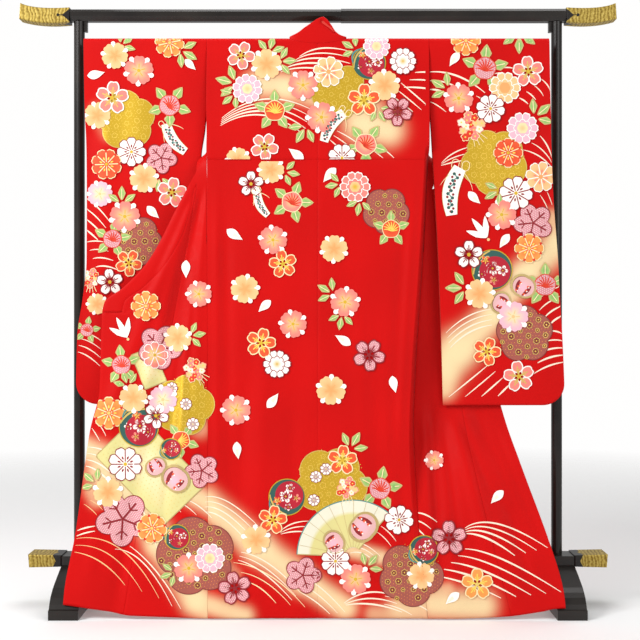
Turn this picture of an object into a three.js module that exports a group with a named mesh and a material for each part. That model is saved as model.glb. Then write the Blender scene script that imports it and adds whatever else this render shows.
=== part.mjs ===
// A long-sleeved kimono hung with its back to the viewer on a black lacquered kimono stand.
// Millimetres. X runs to the viewer's right, Y away from the viewer, Z up, floor at Z = 0.
import * as THREE from 'three';

// Cloth and seams
const WALL = 1.6;
const SEAM = 0.3;

// Hanging rod and the shoulder fold over it
const ROD_Y = -48;
const ROD_Z = 1652.8;
const ROD_RADIUS = 10.9;
const ROD_HALF_LENGTH = 655;
const FOLD_RADIUS = 12.5;
const FOLD_LENGTH = FOLD_RADIUS * Math.PI / 2;

// Lengths of the hanging garment
const SLEEVE_SEAM_END = 1485;
const ARMPIT = 1323;
const TUCK = 1304;
const TUCK_DROP = 5;
const TUCK_STEP = 2.4;
const HEM_Y = -209;
const SHOULDER_Y = ROD_Y - FOLD_RADIUS;
const BACK_FACE_Y = ROD_Y + FOLD_RADIUS;

// Neck, collar and overlap panels
const NECK_HALF = 85;
const NECK_DROP = 23;
const NECK_STATIONS = [0, 25, 48, 65, 77, 83];
const COLLAR_END = 862;
const COLLAR_WALL_GAP = 5;
const PANEL_TIP = 1225;

// Sleeves
const CUFF_END = 1435;
const SLEEVE_BOTTOM = 593;
const SLEEVE_CORNER = 65;
const SLEEVE_HEM_GAP = 1.4;

// Half width of the back at the side seam; from the fold crest on the right side
const BACK_EDGE = [
  { z: 1666, left: 325, right: 317 },
  { z: 1485, left: 325, right: 317 },
  { z: 1323, left: 322, right: 310 },
  { z: 1013, left: 318, right: 291 },
  { z: 671, left: 314, right: 266 },
  { z: 500, left: 312, right: 259 },
  { z: 250, left: 310, right: 268 },
  { z: 0, left: 308, right: 292 },
];

// Free front edge of each opened front, measured out from the centre
const WING_EDGE = [
  { z: 1323, left: 326, right: 329 },
  { z: 1170, left: 404, right: 370 },
  { z: 1013, left: 486, right: 414 },
  { z: 932, left: 560, right: 437 },
  { z: 892, left: 612, right: 448 },
  { z: 854, left: 619, right: 459 },
  { z: 643, left: 622, right: 518 },
  { z: 527, left: 647, right: 549 },
  { z: 437, left: 659, right: 577 },
  { z: 209, left: 684, right: 648 },
  { z: 41, left: 711, right: 690 },
  { z: 0, left: 714, right: 694 },
];

// Seam between front and overlap panel
const PANEL_SEAM = [
  { z: 1290, left: 342, right: 330 },
  { z: 1158, left: 361, right: 342 },
  { z: 862, left: 412, right: 377 },
  { z: 640, left: 452, right: 410 },
  { z: 400, left: 487, right: 450 },
  { z: 0, left: 545, right: 542 },
];

// Width of the collar across the row, from the neck down to its end
const COLLAR_WIDTH = [
  { z: 1666, left: 55, right: 55 },
  { z: 1450, left: 44, right: 44 },
  { z: 1350, left: 18, right: 18 },
  { z: 1290, left: 13, right: 12 },
  { z: 1225, left: 20, right: 12 },
  { z: 1158, left: 42, right: 22 },
  { z: 1060, left: 56, right: 38 },
  { z: 862, left: 57, right: 52 },
];

// The front gathers towards the armpit and turns half round as it passes there:
// breadth of the gathered row and how far it has turned from lying behind the back
const ARMPIT_TURN = [
  { z: 1666, breadth: 295, turn: 0 },
  { z: 1560, breadth: 222, turn: 0 },
  { z: 1450, breadth: 148, turn: 0 },
  { z: 1400, breadth: 108, turn: 8 },
  { z: 1365, breadth: 66, turn: 34 },
  { z: 1342, breadth: 42, turn: 72 },
  { z: 1323, breadth: 35, turn: 106 },
  { z: 1300, breadth: 33, turn: 150 },
  { z: 1275, breadth: 31, turn: 172 },
  { z: 1240, breadth: 46, turn: 180 },
];

// Sleeve edges, measured out from the centre
const SLEEVE_EDGE = [
  { z: 1666, innerLeft: 325, innerRight: 325, outerLeft: 686, outerRight: 677 },
  { z: 1485, innerLeft: 325, innerRight: 325, outerLeft: 683, outerRight: 679 },
  { z: 1400, innerLeft: 331, innerRight: 330, outerLeft: 681, outerRight: 681 },
  { z: 1323, innerLeft: 342, innerRight: 334, outerLeft: 679, outerRight: 683 },
  { z: 1200, innerLeft: 346, innerRight: 341, outerLeft: 678, outerRight: 687 },
  { z: 1013, innerLeft: 350, innerRight: 350, outerLeft: 679, outerRight: 699 },
  { z: 900, innerLeft: 354, innerRight: 354, outerLeft: 691, outerRight: 704 },
  { z: 800, innerLeft: 358, innerRight: 357, outerLeft: 706, outerRight: 709 },
  { z: 593, innerLeft: 362, innerRight: 362, outerLeft: 711, outerRight: 716 },
];

// Height of the hem over the floor along the spread cloth
const HEM = [
  { x: -714, z: 42 },
  { x: -655, z: 34 },
  { x: -596, z: 25 },
  { x: -526, z: 12 },
  { x: -420, z: 8 },
  { x: -313, z: 4 },
  { x: 34, z: 5 },
  { x: 376, z: 4 },
  { x: 527, z: 10 },
  { x: 630, z: 24 },
  { x: 660, z: 31 },
  { x: 694, z: 33 },
];

// Upper edge of the standing collar, with its peak right of the centre
const COLLAR_TOP = [
  { x: -85, z: 1669 },
  { x: -61, z: 1680 },
  { x: -38, z: 1698 },
  { x: -17, z: 1713 },
  { x: 0, z: 1724 },
  { x: 15, z: 1729 },
  { x: 26, z: 1722 },
  { x: 38, z: 1706 },
  { x: 52, z: 1684 },
  { x: 68, z: 1673 },
  { x: 85, z: 1669 },
];

// Largest folds of the opened fronts: a soft trough or ridge along a straight line
const FOLDS = [
  { side: 'left', x1: 330, z1: 1290, x2: 560, z2: 60, reach: 26, depth: 9 },
  { side: 'left', x1: 335, z1: 1270, x2: 400, z2: 380, reach: 20, depth: -7 },
  { side: 'left', x1: 345, z1: 1260, x2: 600, z2: 560, reach: 24, depth: -6 },
  { side: 'right', x1: 332, z1: 640, x2: 345, z2: 90, reach: 22, depth: 10 },
  { side: 'right', x1: 385, z1: 585, x2: 480, z2: 200, reach: 24, depth: -9 },
  { side: 'right', x1: 440, z1: 640, x2: 590, z2: 160, reach: 28, depth: 10 },
];

// Right sleeve and the front behind it lean towards the viewer
const RIGHT_SLEEVE_LEAN = 0.042;
const RIGHT_FRONT_Y = [
  { z: 1666, y: -35.5 },
  { z: 1485, y: -35.5 },
  { z: 1323, y: -43 },
  { z: 900, y: -62 },
  { z: 593, y: -81 },
  { z: 400, y: -142 },
  { z: 220, y: -184 },
  { z: 0, y: -209 },
];
const SEAM_SETBACK = [
  { z: 1666, out: 8 },
  { z: 1485, out: 8 },
  { z: 1323, out: 13 },
  { z: 500, out: 17 },
  { z: 0, out: 16 },
];

// Stand
const BAR_STEP_X = 68;
const BAR_LEFT = { halfDepth: 20, bottom: 1727, top: 1761 };
const BAR_RIGHT = { halfDepth: 21.5, bottom: 1726, top: 1762.5 };
const BAR_HALF = 735;
const TOP_CAP_END = 884;
const TOP_CAP_HALF_DEPTH = 24;
const POST_X = 710;
const POST_RADIUS = 16;
const CLEAT = { width: 8, depth: 18, height: 30 };
const PLANK = { half: 754, halfDepth: 40, bottom: 117, top: 145 };
const BASE_CAP_END = 853;
const FOOT = { x: 712, width: 84, halfDepth: 215 };
const BRACKET = { x: 15, width: 24, thick: 3.4 };

const finish = (color, roughness, metalness = 0) =>
  new THREE.MeshStandardMaterial({ color, roughness, metalness, side: THREE.DoubleSide });
const SILK = '#c8201c';
const LACQUER = '#16161a';
const GILT = '#d8bb45';
const STEEL = '#3c3c40';

const lerp = (a, b, t) => a + (b - a) * t;
const clamp01 = (t) => Math.min(1, Math.max(0, t));
const ease = (t) => clamp01(t) ** 2 * (3 - 2 * clamp01(t));

// Value of a column of a table at a key, on a smooth curve through its rows that never overshoots
function along(table, key, at, column) {
  const rising = table[0][key] < table[table.length - 1][key];
  const rows = rising ? table : [...table].reverse();
  const last = rows.length - 1;
  if (at <= rows[0][key]) return rows[0][column];
  if (at >= rows[last][key]) return rows[last][column];
  const i = rows.findIndex((row) => row[key] > at) - 1;
  const chord = (k) => (rows[k + 1][column] - rows[k][column]) / (rows[k + 1][key] - rows[k][key]);
  const slope = (k) => {
    const before = chord(Math.max(0, k - 1));
    const after = chord(Math.min(last - 1, k));
    return before * after > 0 ? 2 * before * after / (before + after) : 0;
  };
  const span = rows[i + 1][key] - rows[i][key];
  const t = (at - rows[i][key]) / span;
  const blend = t * t * (3 - 2 * t);
  const bend = t * (1 - t) * span * ((1 - t) * slope(i) - t * slope(i + 1));
  return lerp(rows[i][column], rows[i + 1][column], blend) + bend;
}

// Depth of the hanging back at a height: it leans to the viewer, and steps in under the tuck
function backY(z) {
  const lean = lerp(HEM_Y, SHOULDER_Y, z / 1666);
  return lean + TUCK_STEP * ease((TUCK + TUCK_DROP - z) / TUCK_DROP);
}

// Depth added by the folds of one side
function foldY(side, x, z) {
  let y = 0;
  for (const fold of FOLDS.filter((f) => f.side === side)) {
    const t = (fold.z1 - z) / (fold.z1 - fold.z2);
    const away = (Math.abs(x) - lerp(fold.x1, fold.x2, t)) / fold.reach;
    const strength = ease(t * 5) * ease((1.15 - t) * 4);
    y += fold.depth * strength * Math.exp(-away * away);
  }
  return y;
}

// Point at a distance along the cloth from the top of the shoulder fold; toViewer is -1 or 1
function overShoulder(distance, toViewer) {
  const angle = Math.min(distance / FOLD_RADIUS, Math.PI / 2);
  const down = Math.max(0, distance - FOLD_LENGTH);
  return {
    y: ROD_Y - toViewer * FOLD_RADIUS * Math.sin(angle),
    z: ROD_Z + FOLD_RADIUS * Math.cos(angle) - down,
  };
}

// How far down the neckline is cut at x
const neckCut = (x) => NECK_DROP * Math.sqrt(clamp01(1 - (x / NECK_HALF) ** 2));

// Closed wall round the middle surface point(u, v)
function sheet(name, columns, rows, point, wall = WALL, color = SILK) {
  const tiny = 1e-4;
  const outer = [];
  const inner = [];
  const du = new THREE.Vector3();
  const dv = new THREE.Vector3();
  const step = (u, v) => new THREE.Vector3(...point(u, v));
  for (const v of rows) {
    for (const u of columns) {
      const p = step(u, v);
      du.subVectors(step(Math.min(1, u + tiny), v), step(Math.max(0, u - tiny), v));
      dv.subVectors(step(u, Math.min(1, v + tiny)), step(u, Math.max(0, v - tiny)));
      const normal = new THREE.Vector3().crossVectors(du, dv).normalize();
      outer.push(p.clone().addScaledVector(normal, wall / 2));
      inner.push(p.clone().addScaledVector(normal, -wall / 2));
    }
  }
  const n = columns.length;
  const m = rows.length;
  const base = outer.length;
  const faces = [];
  const quad = (a, b, c, d) => faces.push(a, b, c, a, c, d);
  for (let j = 0; j < m - 1; j += 1) {
    for (let i = 0; i < n - 1; i += 1) {
      const a = j * n + i;
      quad(a, a + 1, a + n + 1, a + n);
      quad(base + a, base + a + n, base + a + n + 1, base + a + 1);
    }
  }
  const rim = [];
  for (let i = 0; i < n - 1; i += 1) rim.push([i, i + 1]);
  for (let j = 0; j < m - 1; j += 1) rim.push([j * n + n - 1, (j + 1) * n + n - 1]);
  for (let i = n - 1; i > 0; i -= 1) rim.push([(m - 1) * n + i, (m - 1) * n + i - 1]);
  for (let j = m - 1; j > 0; j -= 1) rim.push([j * n, (j - 1) * n]);
  for (const [p, q] of rim) quad(q, p, base + p, base + q);
  const geometry = new THREE.BufferGeometry();
  const corners = [...outer, ...inner].flatMap((p) => [p.x, p.y, p.z]);
  geometry.setAttribute('position', new THREE.Float32BufferAttribute(corners, 3));
  geometry.setIndex(faces);
  geometry.computeVertexNormals();
  const mesh = new THREE.Mesh(geometry, finish(color, 0.6));
  mesh.name = name;
  return mesh;
}

const even = (count) => Array.from({ length: count + 1 }, (_, i) => i / count);

// Rows of a hanging panel as heights: close together over the fold, the tuck and the armpit
function rowsBetween(marks) {
  const rows = [];
  for (const { from, to, parts } of marks) {
    for (let i = 0; i < parts; i += 1) rows.push(lerp(from, to, i / parts));
  }
  rows.push(marks[marks.length - 1].to);
  return rows;
}

// Back panel from the shoulder fold to the hem
function backPanel(sideName, side) {
  const lengthToFloor = FOLD_LENGTH + ROD_Z;
  const marks = [
    { from: 0, to: FOLD_LENGTH, parts: 4 },
    { from: FOLD_LENGTH, to: FOLD_LENGTH + ROD_Z - TUCK - TUCK_DROP, parts: 6 },
    { from: FOLD_LENGTH + ROD_Z - TUCK - TUCK_DROP, to: FOLD_LENGTH + ROD_Z - TUCK, parts: 2 },
    { from: FOLD_LENGTH + ROD_Z - TUCK, to: lengthToFloor, parts: 18 },
  ];
  const rows = rowsBetween(marks).map((distance) => distance / lengthToFloor);
  const crest = side > 0 ? 0.8 : 1;
  const stations = [...NECK_STATIONS, 90, 135, 190, 240, 290, 325];
  const turned = stations.map((x) => crest * x / 325).concat(side > 0 ? [0.85, 0.9, 0.95, 1] : []);
  const point = (u, v) => {
    const flat = Math.min(1, u / crest);
    const round = crest < 1 ? clamp01((u - crest) / (1 - crest)) : 0;
    const nearTop = overShoulder(v * lengthToFloor, 1);
    const xTop = flat * along(BACK_EDGE, 'z', nearTop.z, sideName);
    const cut = neckCut(xTop);
    const distance = lerp(cut, lengthToFloor, v);
    const shoulder = overShoulder(distance, 1);
    const xHem = side * (flat * along(BACK_EDGE, 'z', 0, sideName) + round * 16);
    const hem = along(HEM, 'x', xHem, 'z');
    const z = shoulder.z + hem * ease(v) * v;
    const over = ease((distance - FOLD_LENGTH) / 40);
    const edge = along(BACK_EDGE, 'z', z, sideName);
    const out = along(SEAM_SETBACK, 'z', z, 'out');
    const x = side * (SEAM / 2 + flat * (edge - SEAM / 2) + round * out);
    const front = lerp(shoulder.y, backY(z), over);
    const behind = along(RIGHT_FRONT_Y, 'z', z, 'y');
    const drop = ease((ARMPIT + 30 - z) / 60);
    const back = lerp(front, behind, drop);
    return [x, lerp(front, back, ease(round)), z];
  };
  return sheet(`back_${sideName}`, turned, rows, point);
}

// Row of an opened front: where it starts at the side seam, its direction, breadth and parts
function frontRow(sideName, side, z) {
  const edge = along(BACK_EDGE, 'z', z, sideName);
  const setback = side > 0 ? along(SEAM_SETBACK, 'z', z, 'out') : 0;
  const clear = SEAM + 0.5 * WALL * ease((SLEEVE_SEAM_END - z) / 80) * ease((z - 1240) / 40);
  const start = edge + setback + clear * (z < SLEEVE_SEAM_END ? 1 : 0);
  const hung = side > 0 ? along(RIGHT_FRONT_Y, 'z', z, 'y') : backY(z);
  const pass = ease((SLEEVE_SEAM_END - z) / (SLEEVE_SEAM_END - ARMPIT - 12));
  const y = side > 0 ? hung : lerp(BACK_FACE_Y, hung, pass);
  const turning = z > PANEL_TIP + 15;
  const turn = turning ? along(ARMPIT_TURN, 'z', z, 'turn') : 180;
  const open = along(WING_EDGE, 'z', z, sideName) - start;
  const gathered = along(ARMPIT_TURN, 'z', z, 'breadth');
  const breadth = lerp(open, gathered, ease((z - PANEL_TIP - 15) / 50));
  const collar = along(COLLAR_WIDTH, 'z', z, sideName);
  return { start, y, turn: turn * Math.PI / 180, breadth, collar };
}

// Point of an opened front at a share of its row
function frontPoint(sideName, side, share, z) {
  const row = frontRow(sideName, side, z);
  const reach = share * row.breadth;
  const x = side * (row.start - reach * Math.cos(row.turn));
  const flat = z < PANEL_TIP + 15 ? foldY(sideName, x, z) * ease((PANEL_TIP + 15 - z) / 60) : 0;
  return [x, row.y + reach * Math.sin(row.turn) + flat * ease(share * 6), z];
}

// The shoulder fold and the hem close a front's strip between two shares of the row
function frontStrip(name, sideName, side, columns, marks, shares) {
  const top = FOLD_LENGTH + ROD_Z;
  const heights = rowsBetween(marks);
  const span = heights[0] - heights[heights.length - 1];
  const rows = heights.map((height) => (heights[0] - height) / span);
  const reachesHem = marks[marks.length - 1].to === 0;
  const point = (u, v) => {
    const height = heights[0] - v * span;
    const shoulder = overShoulder(top - height, -1);
    const z = Math.min(height, shoulder.z);
    const [from, to] = shares(z);
    const share = lerp(from, to, u);
    const [x, y, level] = frontPoint(sideName, side, share, z);
    const lift = reachesHem ? along(HEM, 'x', x, 'z') * (1 - ease(z / 500)) : 0;
    const onFold = z > ROD_Z;
    return [x, onFold ? shoulder.y : y, level + lift];
  };
  return sheet(name, columns, rows, point);
}

const SHOULDER_TO_TIP = [
  { from: FOLD_LENGTH + ROD_Z - SEAM, to: ROD_Z, parts: 4 },
  { from: ROD_Z, to: 1400, parts: 5 },
  { from: 1400, to: PANEL_TIP, parts: 15 },
];
const TIP_TO_COLLAR_END = { from: PANEL_TIP, to: COLLAR_END + SEAM, parts: 7 };
const COLLAR_END_TO_HEM = [
  { from: COLLAR_END + SEAM, to: COLLAR_END - SEAM, parts: 1 },
  { from: COLLAR_END - SEAM, to: 0, parts: 12 },
];

function frontPanel(sideName, side) {
  const shares = (z) => {
    const row = frontRow(sideName, side, z);
    const seamAt = (along(PANEL_SEAM, 'z', z, sideName) - row.start) / row.breadth;
    const collarAt = 1 - row.collar / row.breadth;
    const inner = lerp(seamAt, collarAt, ease((z - PANEL_TIP) / 12));
    return [0, inner - SEAM / 2 / row.breadth];
  };
  const marks = [...SHOULDER_TO_TIP, TIP_TO_COLLAR_END, ...COLLAR_END_TO_HEM];
  return frontStrip(`front_${sideName}`, sideName, side, even(6), marks, shares);
}

// Overlap panel between the front and the free edge, pointed where the collar crosses its seam
function overlapPanel(sideName, side) {
  const marks = [TIP_TO_COLLAR_END, ...COLLAR_END_TO_HEM];
  const shares = (z) => {
    const row = frontRow(sideName, side, z);
    const seamAt = (along(PANEL_SEAM, 'z', z, sideName) - row.start) / row.breadth;
    const collarAt = z > COLLAR_END ? 1 - row.collar / row.breadth : 1;
    const from = seamAt + SEAM / 2 / row.breadth;
    const to = collarAt - (z > COLLAR_END ? SEAM / row.breadth : 0);
    return [from, Math.max(to, from + 2 / row.breadth)];
  };
  return frontStrip(`overlap_${sideName}`, sideName, side, even(5), marks, shares);
}

// Lower stretch of the collar, from the shoulder past the armpit to its end on the free edge
function collarStretch(sideName, side) {
  const marks = [...SHOULDER_TO_TIP, TIP_TO_COLLAR_END];
  const shares = (z) => {
    const row = frontRow(sideName, side, z);
    const seamAt = (along(PANEL_SEAM, 'z', z, sideName) - row.start) / row.breadth;
    const tip = z < PANEL_TIP ? seamAt + (2 + SEAM) / row.breadth : 0;
    return [Math.max(1 - row.collar / row.breadth, tip) + SEAM / 2 / row.breadth, 1];
  };
  return frontStrip(`collar_${sideName}`, sideName, side, even(2), marks, shares);
}

// Neck stretch of the collar: folded lengthwise, rising to a peak before the bar
function collarNeck() {
  const width = NECK_STATIONS[NECK_STATIONS.length - 1];
  const between = [...NECK_STATIONS, 12, 36].sort((a, b) => a - b).slice(1);
  const stations = [...between.map((x) => -x).reverse(), 0, ...between];
  const across = stations.map((x) => (x + width) / (2 * width));
  const up = [0, 0.2, 0.38, 0.46, 0.5, 0.54, 0.62, 0.8, 1];
  const point = (u, v) => {
    const x = lerp(-width, width, u);
    const cut = neckCut(x);
    const foot = overShoulder(cut, 1);
    const facing = Math.max(0, Math.cos(Math.min(cut / FOLD_RADIUS, Math.PI / 2)));
    const base = foot.z + 2.5 * SEAM + 0.5 * WALL * facing;
    const top = Math.max(base + 3.2, along(COLLAR_TOP, 'x', x, 'z'));
    const bend = COLLAR_WALL_GAP / 2;
    const nearY = (z) => foot.y + 9 * ease((z - base) / 70);
    const crease = 4 * Math.exp(-(((x - 32) / 12) ** 2)) * Math.exp(-(((v - 0.22) / 0.1) ** 2));
    const shoulderZ = top - bend;
    if (v < 0.46) {
      const z = lerp(base, shoulderZ, v / 0.46);
      return [x, nearY(z) + crease, z];
    }
    if (v <= 0.54) {
      const turn = Math.PI * (v - 0.46) / 0.08;
      const y = nearY(shoulderZ) + bend * (1 - Math.cos(turn));
      return [x, y, shoulderZ + bend * Math.sin(turn)];
    }
    const z = lerp(shoulderZ, lerp(shoulderZ, base, 0.62), (v - 0.54) / 0.46);
    return [x, nearY(shoulderZ) + 2 * bend, z];
  };
  return sheet('collar_neck', across, up, point);
}

// Sleeve: one length folded over the rod, with a rounded outer corner and a cuff opening
function sleeve(sideName, side) {
  const innerKey = side > 0 ? 'innerRight' : 'innerLeft';
  const outerKey = side > 0 ? 'outerRight' : 'outerLeft';
  const lean = side > 0 ? RIGHT_SLEEVE_LEAN : 0;
  const drop = ROD_Z - SLEEVE_BOTTOM;
  const corner = [0, 22, 45, 67, 90].map((angle) => angle * Math.PI / 180);
  const widthBelow = along(SLEEVE_EDGE, 'z', SLEEVE_BOTTOM, outerKey)
    - along(SLEEVE_EDGE, 'z', SLEEVE_BOTTOM, innerKey);
  const plain = 1 - SLEEVE_CORNER / widthBelow;
  const columns = [0, 0.25, 0.5, 0.75].map((t) => t * plain)
    .concat(corner.map((angle) => 1 - (1 - Math.sin(angle)) * (1 - plain)));
  const half = [
    { from: 1, to: FOLD_LENGTH / (FOLD_LENGTH + drop), parts: 13 },
    { from: FOLD_LENGTH / (FOLD_LENGTH + drop), to: 0, parts: 4 },
  ];
  const far = rowsBetween(half).map((t) => 0.5 - t / 2);
  const rows = far.concat(far.slice(0, -1).reverse().map((v) => 1 - v));
  const point = (u, v) => {
    const toViewer = v < 0.5 ? -1 : 1;
    const t = Math.abs(v - 0.5) * 2;
    const into = clamp01((u - plain) / (1 - plain));
    const rise = SLEEVE_CORNER * (1 - Math.sqrt(clamp01(1 - into * into)));
    const length = FOLD_LENGTH + drop - rise;
    const shoulder = overShoulder(t * length, toViewer);
    const z = shoulder.z;
    const inner = along(SLEEVE_EDGE, 'z', z, innerKey) + SEAM;
    const outer = along(SLEEVE_EDGE, 'z', z, outerKey);
    const x = lerp(inner, outer, u);
    const fromBottom = ease((length - t * length) / 160);
    const sewn = ease((CUFF_END - z) / 60);
    const fromEdge = lerp(1, ease((1 - u) * 5), sewn);
    const openness = lerp(1, 0.62, ease((ROD_Z - z) / 500)) * fromBottom * fromEdge;
    const gap = SLEEVE_HEM_GAP + (FOLD_RADIUS - SLEEVE_HEM_GAP) * openness;
    const half = z > ROD_Z ? Math.abs(shoulder.y - ROD_Y) : gap;
    const y = ROD_Y - lean * Math.max(0, ROD_Z - z) - toViewer * half;
    return [side * x, y, z];
  };
  return sheet(`sleeve_${sideName}`, columns, rows, point);
}

// Straight piece along X with a section drawn in Y and Z
function alongX(name, section, from, to, color, roughness, metalness = 0) {
  const shape = new THREE.Shape(section.map(([y, z]) => new THREE.Vector2(y, z)));
  const geometry = new THREE.ExtrudeGeometry(shape, { depth: to - from, bevelEnabled: false });
  const mesh = new THREE.Mesh(geometry, finish(color, roughness, metalness));
  const basis = new THREE.Matrix4().makeBasis(
    new THREE.Vector3(0, 1, 0), new THREE.Vector3(0, 0, 1), new THREE.Vector3(1, 0, 0));
  mesh.quaternion.setFromRotationMatrix(basis);
  mesh.position.set(from, 0, 0);
  mesh.name = name;
  return mesh;
}

// Piece with an outline drawn in X and Z, its edges rounded, centred in depth
function acrossY(name, shape, halfDepth, round, color, roughness, metalness) {
  const geometry = new THREE.ExtrudeGeometry(shape, {
    depth: 2 * (halfDepth - round),
    bevelEnabled: true,
    bevelThickness: round,
    bevelSize: round,
    bevelOffset: -round,
    bevelSegments: 2,
    curveSegments: 10,
  });
  const mesh = new THREE.Mesh(geometry, finish(color, roughness, metalness));
  mesh.rotation.x = Math.PI / 2;
  mesh.position.y = halfDepth - round;
  mesh.name = name;
  return mesh;
}

// Bevelled bar section: narrow facets above, a deep one below
function barSection({ halfDepth, bottom, top }) {
  return [
    [-halfDepth, bottom + 13], [-halfDepth + 9, bottom], [halfDepth - 9, bottom],
    [halfDepth, bottom + 13], [halfDepth, top - 8], [halfDepth - 7, top],
    [-halfDepth + 7, top], [-halfDepth, top - 8],
  ];
}

function topCap(sideName, side) {
  const shape = new THREE.Shape();
  const start = BAR_HALF + SEAM;
  shape.moveTo(side * start, 1721);
  shape.quadraticCurveTo(side * 820, 1712, side * TOP_CAP_END, 1731);
  shape.lineTo(side * (TOP_CAP_END - 3), 1778);
  shape.quadraticCurveTo(side * 838, 1758, side * start, 1765);
  shape.closePath();
  return acrossY(`top_cap_${sideName}`, shape, TOP_CAP_HALF_DEPTH, 3, GILT, 0.35, 0.9);
}

function baseCap(sideName, side) {
  const shape = new THREE.Shape();
  const start = PLANK.half + SEAM;
  shape.moveTo(side * start, PLANK.bottom - 3);
  shape.lineTo(side * (BASE_CAP_END - 3), PLANK.bottom - 5);
  shape.lineTo(side * BASE_CAP_END, PLANK.top + 5);
  shape.lineTo(side * start, PLANK.top + 3);
  shape.closePath();
  return acrossY(`base_cap_${sideName}`, shape, PLANK.halfDepth + 3, 3, GILT, 0.35, 0.9);
}

function post(sideName, side) {
  const bar = side > 0 ? BAR_RIGHT : BAR_LEFT;
  const bottom = PLANK.top + SEAM;
  const height = bar.bottom - SEAM - bottom;
  const geometry = new THREE.CylinderGeometry(POST_RADIUS, POST_RADIUS, height, 20);
  const mesh = new THREE.Mesh(geometry, finish(LACQUER, 0.25));
  mesh.rotation.x = Math.PI / 2;
  mesh.position.set(side * POST_X, 0, bottom + height / 2);
  mesh.name = `post_${sideName}`;
  return mesh;
}

// Cleat in the corner of post and bar
function cleat(sideName, side) {
  const bar = side > 0 ? BAR_RIGHT : BAR_LEFT;
  const top = bar.bottom - SEAM;
  const outerX = POST_X - POST_RADIUS - SEAM;
  const innerX = outerX - CLEAT.width;
  const half = CLEAT.depth / 2;
  const section = [[-half, top - CLEAT.height], [half, top - CLEAT.height], [half, top], [-half, top]];
  const from = side > 0 ? innerX : -outerX;
  return alongX(`cleat_${sideName}`, section, from, from + CLEAT.width, LACQUER, 0.3);
}

// Foot: a block at each end, rising in curved steps to the seat of the plank
function foot(sideName, side) {
  const half = [
    [FOOT.halfDepth, 0], [FOOT.halfDepth, 27], [205, 29], [199, 41], [186, 57],
    [170, 68], [152, 78], [125, 89], [95, 100], [70, 109], [48, PLANK.bottom - SEAM],
  ];
  const section = [...half, ...half.map(([y, z]) => [-y, z]).reverse()];
  const from = side * FOOT.x - FOOT.width / 2;
  return alongX(`foot_${sideName}`, section, from, from + FOOT.width, LACQUER, 0.25);
}

function rod() {
  const geometry = new THREE.CylinderGeometry(ROD_RADIUS, ROD_RADIUS, 2 * ROD_HALF_LENGTH, 20);
  const mesh = new THREE.Mesh(geometry, finish(STEEL, 0.45, 0.6));
  mesh.rotation.z = Math.PI / 2;
  mesh.position.set(0, ROD_Y, ROD_Z);
  mesh.name = 'hanger_rod';
  return mesh;
}

// Flat steel bracket from the bar's underside down to the back of the rod
function bracket() {
  const seatZ = BAR_LEFT.bottom - SEAM;
  const backY0 = ROD_Y + ROD_RADIUS + SEAM;
  const frontY0 = backY0 + BRACKET.thick;
  const low = ROD_Z - 10;
  const section = [
    [backY0, low], [frontY0, low], [frontY0, seatZ - BRACKET.thick], [10, seatZ - BRACKET.thick],
    [10, seatZ], [backY0, seatZ],
  ];
  const from = BRACKET.x - BRACKET.width / 2;
  return alongX('rod_bracket', section, from, from + BRACKET.width, STEEL, 0.45, 0.6);
}

const furisode = new THREE.Group();
furisode.name = 'furisode';
for (const [sideName, side] of [['left', -1], ['right', 1]]) {
  furisode.add(backPanel(sideName, side));
  furisode.add(frontPanel(sideName, side));
  furisode.add(overlapPanel(sideName, side));
  furisode.add(collarStretch(sideName, side));
  furisode.add(sleeve(sideName, side));
  furisode.add(topCap(sideName, side));
  furisode.add(baseCap(sideName, side));
  furisode.add(post(sideName, side));
  furisode.add(cleat(sideName, side));
  furisode.add(foot(sideName, side));
}
furisode.add(collarNeck());
furisode.add(alongX('top_bar_left', barSection(BAR_LEFT), -BAR_HALF, BAR_STEP_X, LACQUER, 0.25));
furisode.add(alongX('top_bar_right', barSection(BAR_RIGHT), BAR_STEP_X + SEAM, BAR_HALF, LACQUER, 0.25));
const plankSection = [
  [-PLANK.halfDepth, PLANK.bottom], [PLANK.halfDepth, PLANK.bottom],
  [PLANK.halfDepth, PLANK.top], [-PLANK.halfDepth, PLANK.top],
];
furisode.add(alongX('base_plank', plankSection, -PLANK.half, PLANK.half, LACQUER, 0.25));
furisode.add(rod());
furisode.add(bracket());

export default furisode;
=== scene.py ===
"""A furisode hung with its back to the viewer on a lacquered kimono stand.

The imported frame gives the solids. This script lays fine cloth over them, dyes it, sets the yuzen motifs
on it, and finishes the stand. Lengths in the code are millimetres unless a name says metres.
"""
import logging
import math
from dataclasses import dataclass, field
from enum import Enum
from functools import partial
from typing import Callable, Sequence

import bpy
import numpy as np
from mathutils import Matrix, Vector


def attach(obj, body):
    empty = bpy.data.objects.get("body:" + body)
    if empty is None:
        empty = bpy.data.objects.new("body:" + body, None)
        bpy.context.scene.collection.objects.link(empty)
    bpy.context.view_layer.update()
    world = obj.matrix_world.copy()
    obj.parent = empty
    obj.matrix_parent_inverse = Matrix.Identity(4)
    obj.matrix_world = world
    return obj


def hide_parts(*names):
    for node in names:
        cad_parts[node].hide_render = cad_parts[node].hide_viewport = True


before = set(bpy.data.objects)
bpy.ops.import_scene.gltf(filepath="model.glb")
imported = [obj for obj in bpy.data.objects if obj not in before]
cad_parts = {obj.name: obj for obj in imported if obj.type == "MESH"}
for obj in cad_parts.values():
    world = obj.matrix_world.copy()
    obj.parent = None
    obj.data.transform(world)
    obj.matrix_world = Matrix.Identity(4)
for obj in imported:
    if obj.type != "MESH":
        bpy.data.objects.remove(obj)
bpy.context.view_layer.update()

LOG = logging.getLogger("furisode")
Array = np.ndarray
MM = 0.001


def ease(t: Array) -> Array:
    """Smooth step from 0 to 1: 3t^2 - 2t^3, held at 0 and 1 outside the unit range."""
    t = np.clip(t, 0.0, 1.0)
    return t * t * (3.0 - 2.0 * t)


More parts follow.
